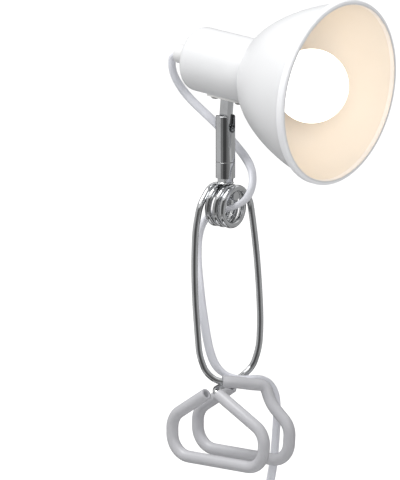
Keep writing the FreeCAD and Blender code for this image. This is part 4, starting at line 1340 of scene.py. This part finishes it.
def makeSwitch(sizes):
    low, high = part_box("switch_front_shell")
    middle = (low + high) / 2
    place = Matrix.Translation((middle.x, high.y, middle.z)) @ frontPlace
    shell = makeShell("switchFront", "switch_front_shell", place, sizes)
    wall = sizes["wall"]
    opening = (sizes["mouthHalfWidth"], sizes["mouthHalfLength"], sizes["mouthCorner"])
    place = Matrix.Translation((middle.x, low.y + 4 * wall, middle.z)) @ frontPlace  # right through the wall
    mouth = asPiece("mouthCutter", layered([(0, *opening), (5 * wall, *opening)], place), whitePlastic)
    shell = cutOut(shell, [mouth], sharp=40, edge=sizes["mouthLip"])
    onSwitch = [standsFor(shell, "base", "white_plastic", "switch_front_shell")]

    low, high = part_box("switch_rear_shell")
    place = Matrix.Translation((middle.x, low.y, middle.z)) @ rearPlace
    shell = makeShell("switchRear", "switch_rear_shell", place, sizes)
    seats = [(screw.x, high.y - sizes["recessDepth"], screw.z) for screw in screwPlaces("switch_screws")]
    radius, reach = sizes["recessRadius"], 2.5 * sizes["recessDepth"]  # out past the shell
    recesses = []
    for index, seat in enumerate(seats):
        drill = turned([(0, 0), (0, radius), (reach, radius), (reach, 0)],
                       Matrix.Translation(seat) @ rearPlace, steps=32, closed=False)
        recesses.append(asPiece(f"recess{index}", drill, whitePlastic))
    shell = cutOut(shell, recesses, sharp=40)
    onSwitch.append(standsFor(shell, "base", "white_plastic", "switch_rear_shell"))
    rocker = softened("switchRocker", "switch_rocker", sizes["rockerEdge"], whitePlastic)
    onSwitch.append(standsFor(rocker, "rocker", "white_plastic", "switch_rocker"))
    heads = makeScrews("switchScrews", seats, (0, 0, math.pi / 2), sizes["screwRadius"], sizes["screwHeight"])
    onSwitch.append(standsFor(heads, "base", "steel", "switch_screws"))
    return onSwitch


plugSizes = {
    "sleeveRadius": 1.7 * mm,
    "sleeveTip": 0.3 * mm,
    "sleeveRoot": 1.0 * mm,
    "pinSpacing": 18.6 * mm,
    "ribStart": 2.0 * mm,
    "ribRun": 15.0 * mm,
    "ribCount": 8,
    "ribThickness": 1.1 * mm,
    "ribRadii": (3.3 * mm, 4.25 * mm),
    # the body from the cord to the face, in millimetres: (along, half width, half height, corner)
    "layers": [
        (0, 3.0, 3.0, 3.0), (0.5, 3.3, 3.3, 3.3), (19.4, 4.5, 4.5, 4.5), (20.4, 5.6, 5.2, 5.0),
        (21.6, 7.4, 6.1, 5.2), (23.5, 8.6, 6.6, 5.0), (27.0, 10.1, 6.82, 4.6), (32.0, 11.8, 6.85, 4.3),
        (36.0, 12.8, 6.85, 4.2), (38.7, 13.0, 6.85, 4.2), (42.0, 12.85, 6.85, 4.2), (47.0, 12.2, 6.85, 4.2),
        (51.5, 11.75, 6.8, 4.2), (53.0, 11.3, 6.5, 4.0), (53.8, 10.5, 5.8, 3.6), (54.0, 9.8, 5.1, 3.2),
    ],
}


def makeRibTree():
    # rings evenly spaced down a taper
    tree, given, out = newShapeTree("ribTree", [
        ("Count", countSocket, 8), ("Length", floatSocket, 0.015), ("Start Radius", floatSocket, 0.0035),
        ("End Radius", floatSocket, 0.0045), ("Thickness", floatSocket, 0.001),
    ])
    gaps = calc(tree, "SUBTRACT", given["Count"], 1)
    step = addNode(tree, "ShaderNodeCombineXYZ", {"X": calc(tree, "DIVIDE", given["Length"], gaps)})
    line = addNode(tree, "GeometryNodeMeshLine", {"Count": given["Count"], "Offset": step.outputs[0]})
    index = tree.nodes.new("GeometryNodeInputIndex").outputs[0]
    share = calc(tree, "DIVIDE", index, gaps)
    radius = ramp(tree, share, 0.0, 1.0, given["Start Radius"], given["End Radius"])
    ring = addNode(tree, "GeometryNodeCurvePrimitiveCircle", {"Resolution": 48, "Radius": 1.0})
    stands = addNode(tree, "GeometryNodeInstanceOnPoints", {
        "Points": line.outputs[0], "Instance": ring.outputs[0], "Rotation": (0, math.pi / 2, 0),
        "Scale": radius})
    real = addNode(tree, "GeometryNodeRealizeInstances", {"Geometry": stands.outputs[0]})
    section = addNode(tree, "GeometryNodeCurvePrimitiveCircle", {
        "Resolution": 12, "Radius": calc(tree, "MULTIPLY", given["Thickness"], 0.5)})
    even = addNode(tree, "GeometryNodeSetCurveRadius", {"Curve": real.outputs[0], "Radius": 1.0})
    body = addNode(tree, "GeometryNodeCurveToMesh", {"Curve": even.outputs[0],
                                                     "Profile Curve": section.outputs[0]})
    smooth = addNode(tree, "GeometryNodeSetShadeSmooth", {"Geometry": body.outputs[0]})
    return endShapeTree(tree, given, out, smooth.outputs[0])


def makePlug(sizes):
    low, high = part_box("plug_body")
    middle = (low + high) / 2
    place = Matrix.Translation((middle.x, middle.y, high.z)) @ downPlace
    layers = [(along * mm, tall * mm, wide * mm, corner * mm)
              for along, wide, tall, corner in sizes["layers"]]
    pieces = [asPiece("plugMoulding", layered(layers, place), whitePlastic)]
    root, tip, radius = layers[-1][0] - sizes["sleeveRoot"], high.z - low.z, sizes["sleeveRadius"]
    outline = eased([(root, 0, 0), (root, radius, 0), (tip, radius, sizes["sleeveTip"]), (tip, 0, 0)])
    for side in (-1, 1):
        sleevePlace = Matrix.Translation((side * sizes["pinSpacing"] / 2, 0, 0)) @ place
        sleeve = turned(outline, sleevePlace, steps=40, closed=False)
        pieces.append(asPiece(f"pinSleeve{side}", sleeve, whitePlastic))
    first, last = sizes["ribRadii"]
    ribs = grownAlone("ribs", makeRibTree(), {
        "Count": sizes["ribCount"], "Length": sizes["ribRun"], "Start Radius": first, "End Radius": last,
        "Thickness": sizes["ribThickness"], "Material": whitePlastic,
    })
    ribs.data.transform(place @ Matrix.Translation((sizes["ribStart"], 0, 0)))
    plug = joined("plugBody", pieces + [ribs], sharp=45)
    return standsFor(plug, "base", "white_plastic", "plug_body")


onTheCord = [makeTie(tieSizes), *makeSwitch(switchSizes), makePlug(plugSizes)]
onTheCord += [nodes["switch_contacts"], nodes["plug_pins"]]
makeCord(cordPieces, onTheCord)
print("cord made, with what is on it")


# the rest of the frame's own pieces

nodeFinishes = {
    "shade_ring": holderPlastic, "lampholder_body": holderPlastic,
    "tilt_pin": chromePlate, "lock_nut": chromePlate, "tee_stud": chromePlate,
    "bracket_nuts": zincSteel, "swivel_spindle": zincSteel,
    "swivel_washer": zincSteel, "friction_washers": zincSteel, "swivel_grub_screw": zincSteel,
    "threaded_nipple": zincSteel, "nipple_nut": zincSteel, "gland_screw": zincSteel,
    "terminal_screws": zincSteel,
    "centre_contact": brassPlate, "thread_shell": brassPlate, "switch_contacts": brassPlate,
    "bulb_tip_contact": nickelPlate, "bulb_cap": nickelPlate, "plug_pins": nickelPlate,
    "lead_cores": cordPvc,
    "bulb_led_board": solderMask, "bulb_insulator": darkGlass,
}


def finishNodes(finishes):
    for node, finish in finishes.items():
        mesh = nodes[node].data
        mesh.materials.clear()
        mesh.materials.append(finish)


finishNodes(nodeFinishes)
print("frame pieces finished")


# studio

studioSizes = {
    "floorDrop": 0.004,
    "floorWidth": 30.0,
    "floorTone": 0.55,
    "floorGlow": 0.82,
    "fillLight": 0.44,
    "cardDistance": 0.5,
    "cardHeight": 0.84,
    "cardSteps": 8,
}
# cards that only the plated metal mirrors: upright ones by degrees round from the camera, half width
# and tone, and flat rings under the lamp by inner radius, outer radius and tone
mirrorCards = [(-160, 20, 0.15), (-99, 41, 0.65), (-43, 15, 0.25), (-8, 20, 0.08), (24, 12, 0.22),
               (46, 10, 0.33), (66, 10, 0.62), (94, 18, 0.46), (128, 16, 0.50), (162, 18, 0.15)]
underCards = [(0.11, 0.24, 0.12), (0.24, 0.34, 0.6), (0.34, 0.5, 0.3)]
softLights = [
    {"name": "topLight", "place": (-0.35, -0.45, 1.15), "aim": (0, 0, 0.15), "size": 0.7, "power": 9.7},
    {"name": "sideLight", "place": (0.9, -0.9, 0.5), "aim": (0, 0, 0.1), "size": 0.6, "power": 4.3},
]


def seenOr(tree, lighting, seen):
    # one strength for the rays that light the lamp, and another where the thing itself is seen
    path = tree.nodes.new("ShaderNodeLightPath").outputs
    mirrored = calc(tree, "MAXIMUM", path["Is Glossy Ray"], path["Is Transmission Ray"])
    return ramp(tree, calc(tree, "MAXIMUM", path["Is Camera Ray"], mirrored), 0, 1, lighting, seen)


def makeWorld(sizes):
    world = bpy.data.worlds.new("studio")
    scene.world = world
    world.use_nodes = True
    tree = world.node_tree
    tree.nodes.clear()
    back = addNode(tree, "ShaderNodeBackground", {"Color": (1, 1, 1, 1),
                                                  "Strength": seenOr(tree, sizes["fillLight"], 1.0)})
    out = tree.nodes.new("ShaderNodeOutputWorld")
    tree.links.new(back.outputs[0], out.inputs["Surface"])


def makeFloor(sizes):
    material, tree, skin = newMaterial("paleFloor")
    tone = sizes["floorTone"]
    skin.inputs["Base Color"].default_value = (tone, tone, tone, 1)
    skin.inputs["Roughness"].default_value = 0.9
    skin.inputs["Emission Color"].default_value = (1, 1, 1, 1)
    tree.links.new(seenOr(tree, 0.0, sizes["floorGlow"]), skin.inputs["Emission Strength"])
    shape = bmesh.new()
    bmesh.ops.create_grid(shape, size=sizes["floorWidth"] / 2)
    bmesh.ops.translate(shape, vec=(0, 0, cadBox[0].z - sizes["floorDrop"]), verts=shape.verts)
    asPiece("floor", shape, material)


def hangCard(name, shape, tone):
    material, tree = newMaterial(name)[:2]
    tree.nodes.clear()
    glow = addNode(tree, "ShaderNodeEmission", {"Color": (tone, tone, tone, 1), "Strength": 1.0})
    out = tree.nodes.new("ShaderNodeOutputMaterial")
    tree.links.new(glow.outputs[0], out.inputs["Surface"])
    card = asPiece(name, shape, material)
    for rays in ("camera", "diffuse", "transmission", "shadow"):
        setattr(card, f"visible_{rays}", False)


def makeCards(cards, rings, sizes):
    for index, (turn, halfWidth, tone) in enumerate(cards):
        shape = bmesh.new()
        columns = []
        for step in range(sizes["cardSteps"] + 1):
            swing = halfWidth * (2 * step / sizes["cardSteps"] - 1)
            angle = math.radians(cameraView["azimuth"] + turn + swing)
            x, y = sizes["cardDistance"] * math.sin(angle), -sizes["cardDistance"] * math.cos(angle)
            columns.append([shape.verts.new((x, y, side * sizes["cardHeight"] / 2)) for side in (-1, 1)])
        for first, second in zip(columns, columns[1:]):
            shape.faces.new((first[0], second[0], second[1], first[1]))
        hangCard(f"mirrorCard{index}", shape, tone)
    height = cadBox[0].z - sizes["floorDrop"] / 2
    for index, (inner, outer, tone) in enumerate(rings):
        ring = turned([(height, inner), (height, outer)], upPlace, steps=48, closed=False)
        hangCard(f"underCard{index}", ring, tone)


def makeLights(lights):
    for light in lights:
        data = bpy.data.lights.new(light["name"], "AREA")
        data.shape = "DISK"
        data.size = light["size"]
        data.energy = light["power"]
        lamp = linked(light["name"], data)
        lamp.location = light["place"]
        aim = Vector(light["aim"]) - Vector(light["place"])
        lamp.rotation_euler = aim.to_track_quat("-Z", "Y").to_euler()


makeWorld(studioSizes)
makeFloor(studioSizes)
makeCards(mirrorCards, underCards, studioSizes)
makeLights(softLights)
scene.view_settings.view_transform = "Standard"
print("studio made")
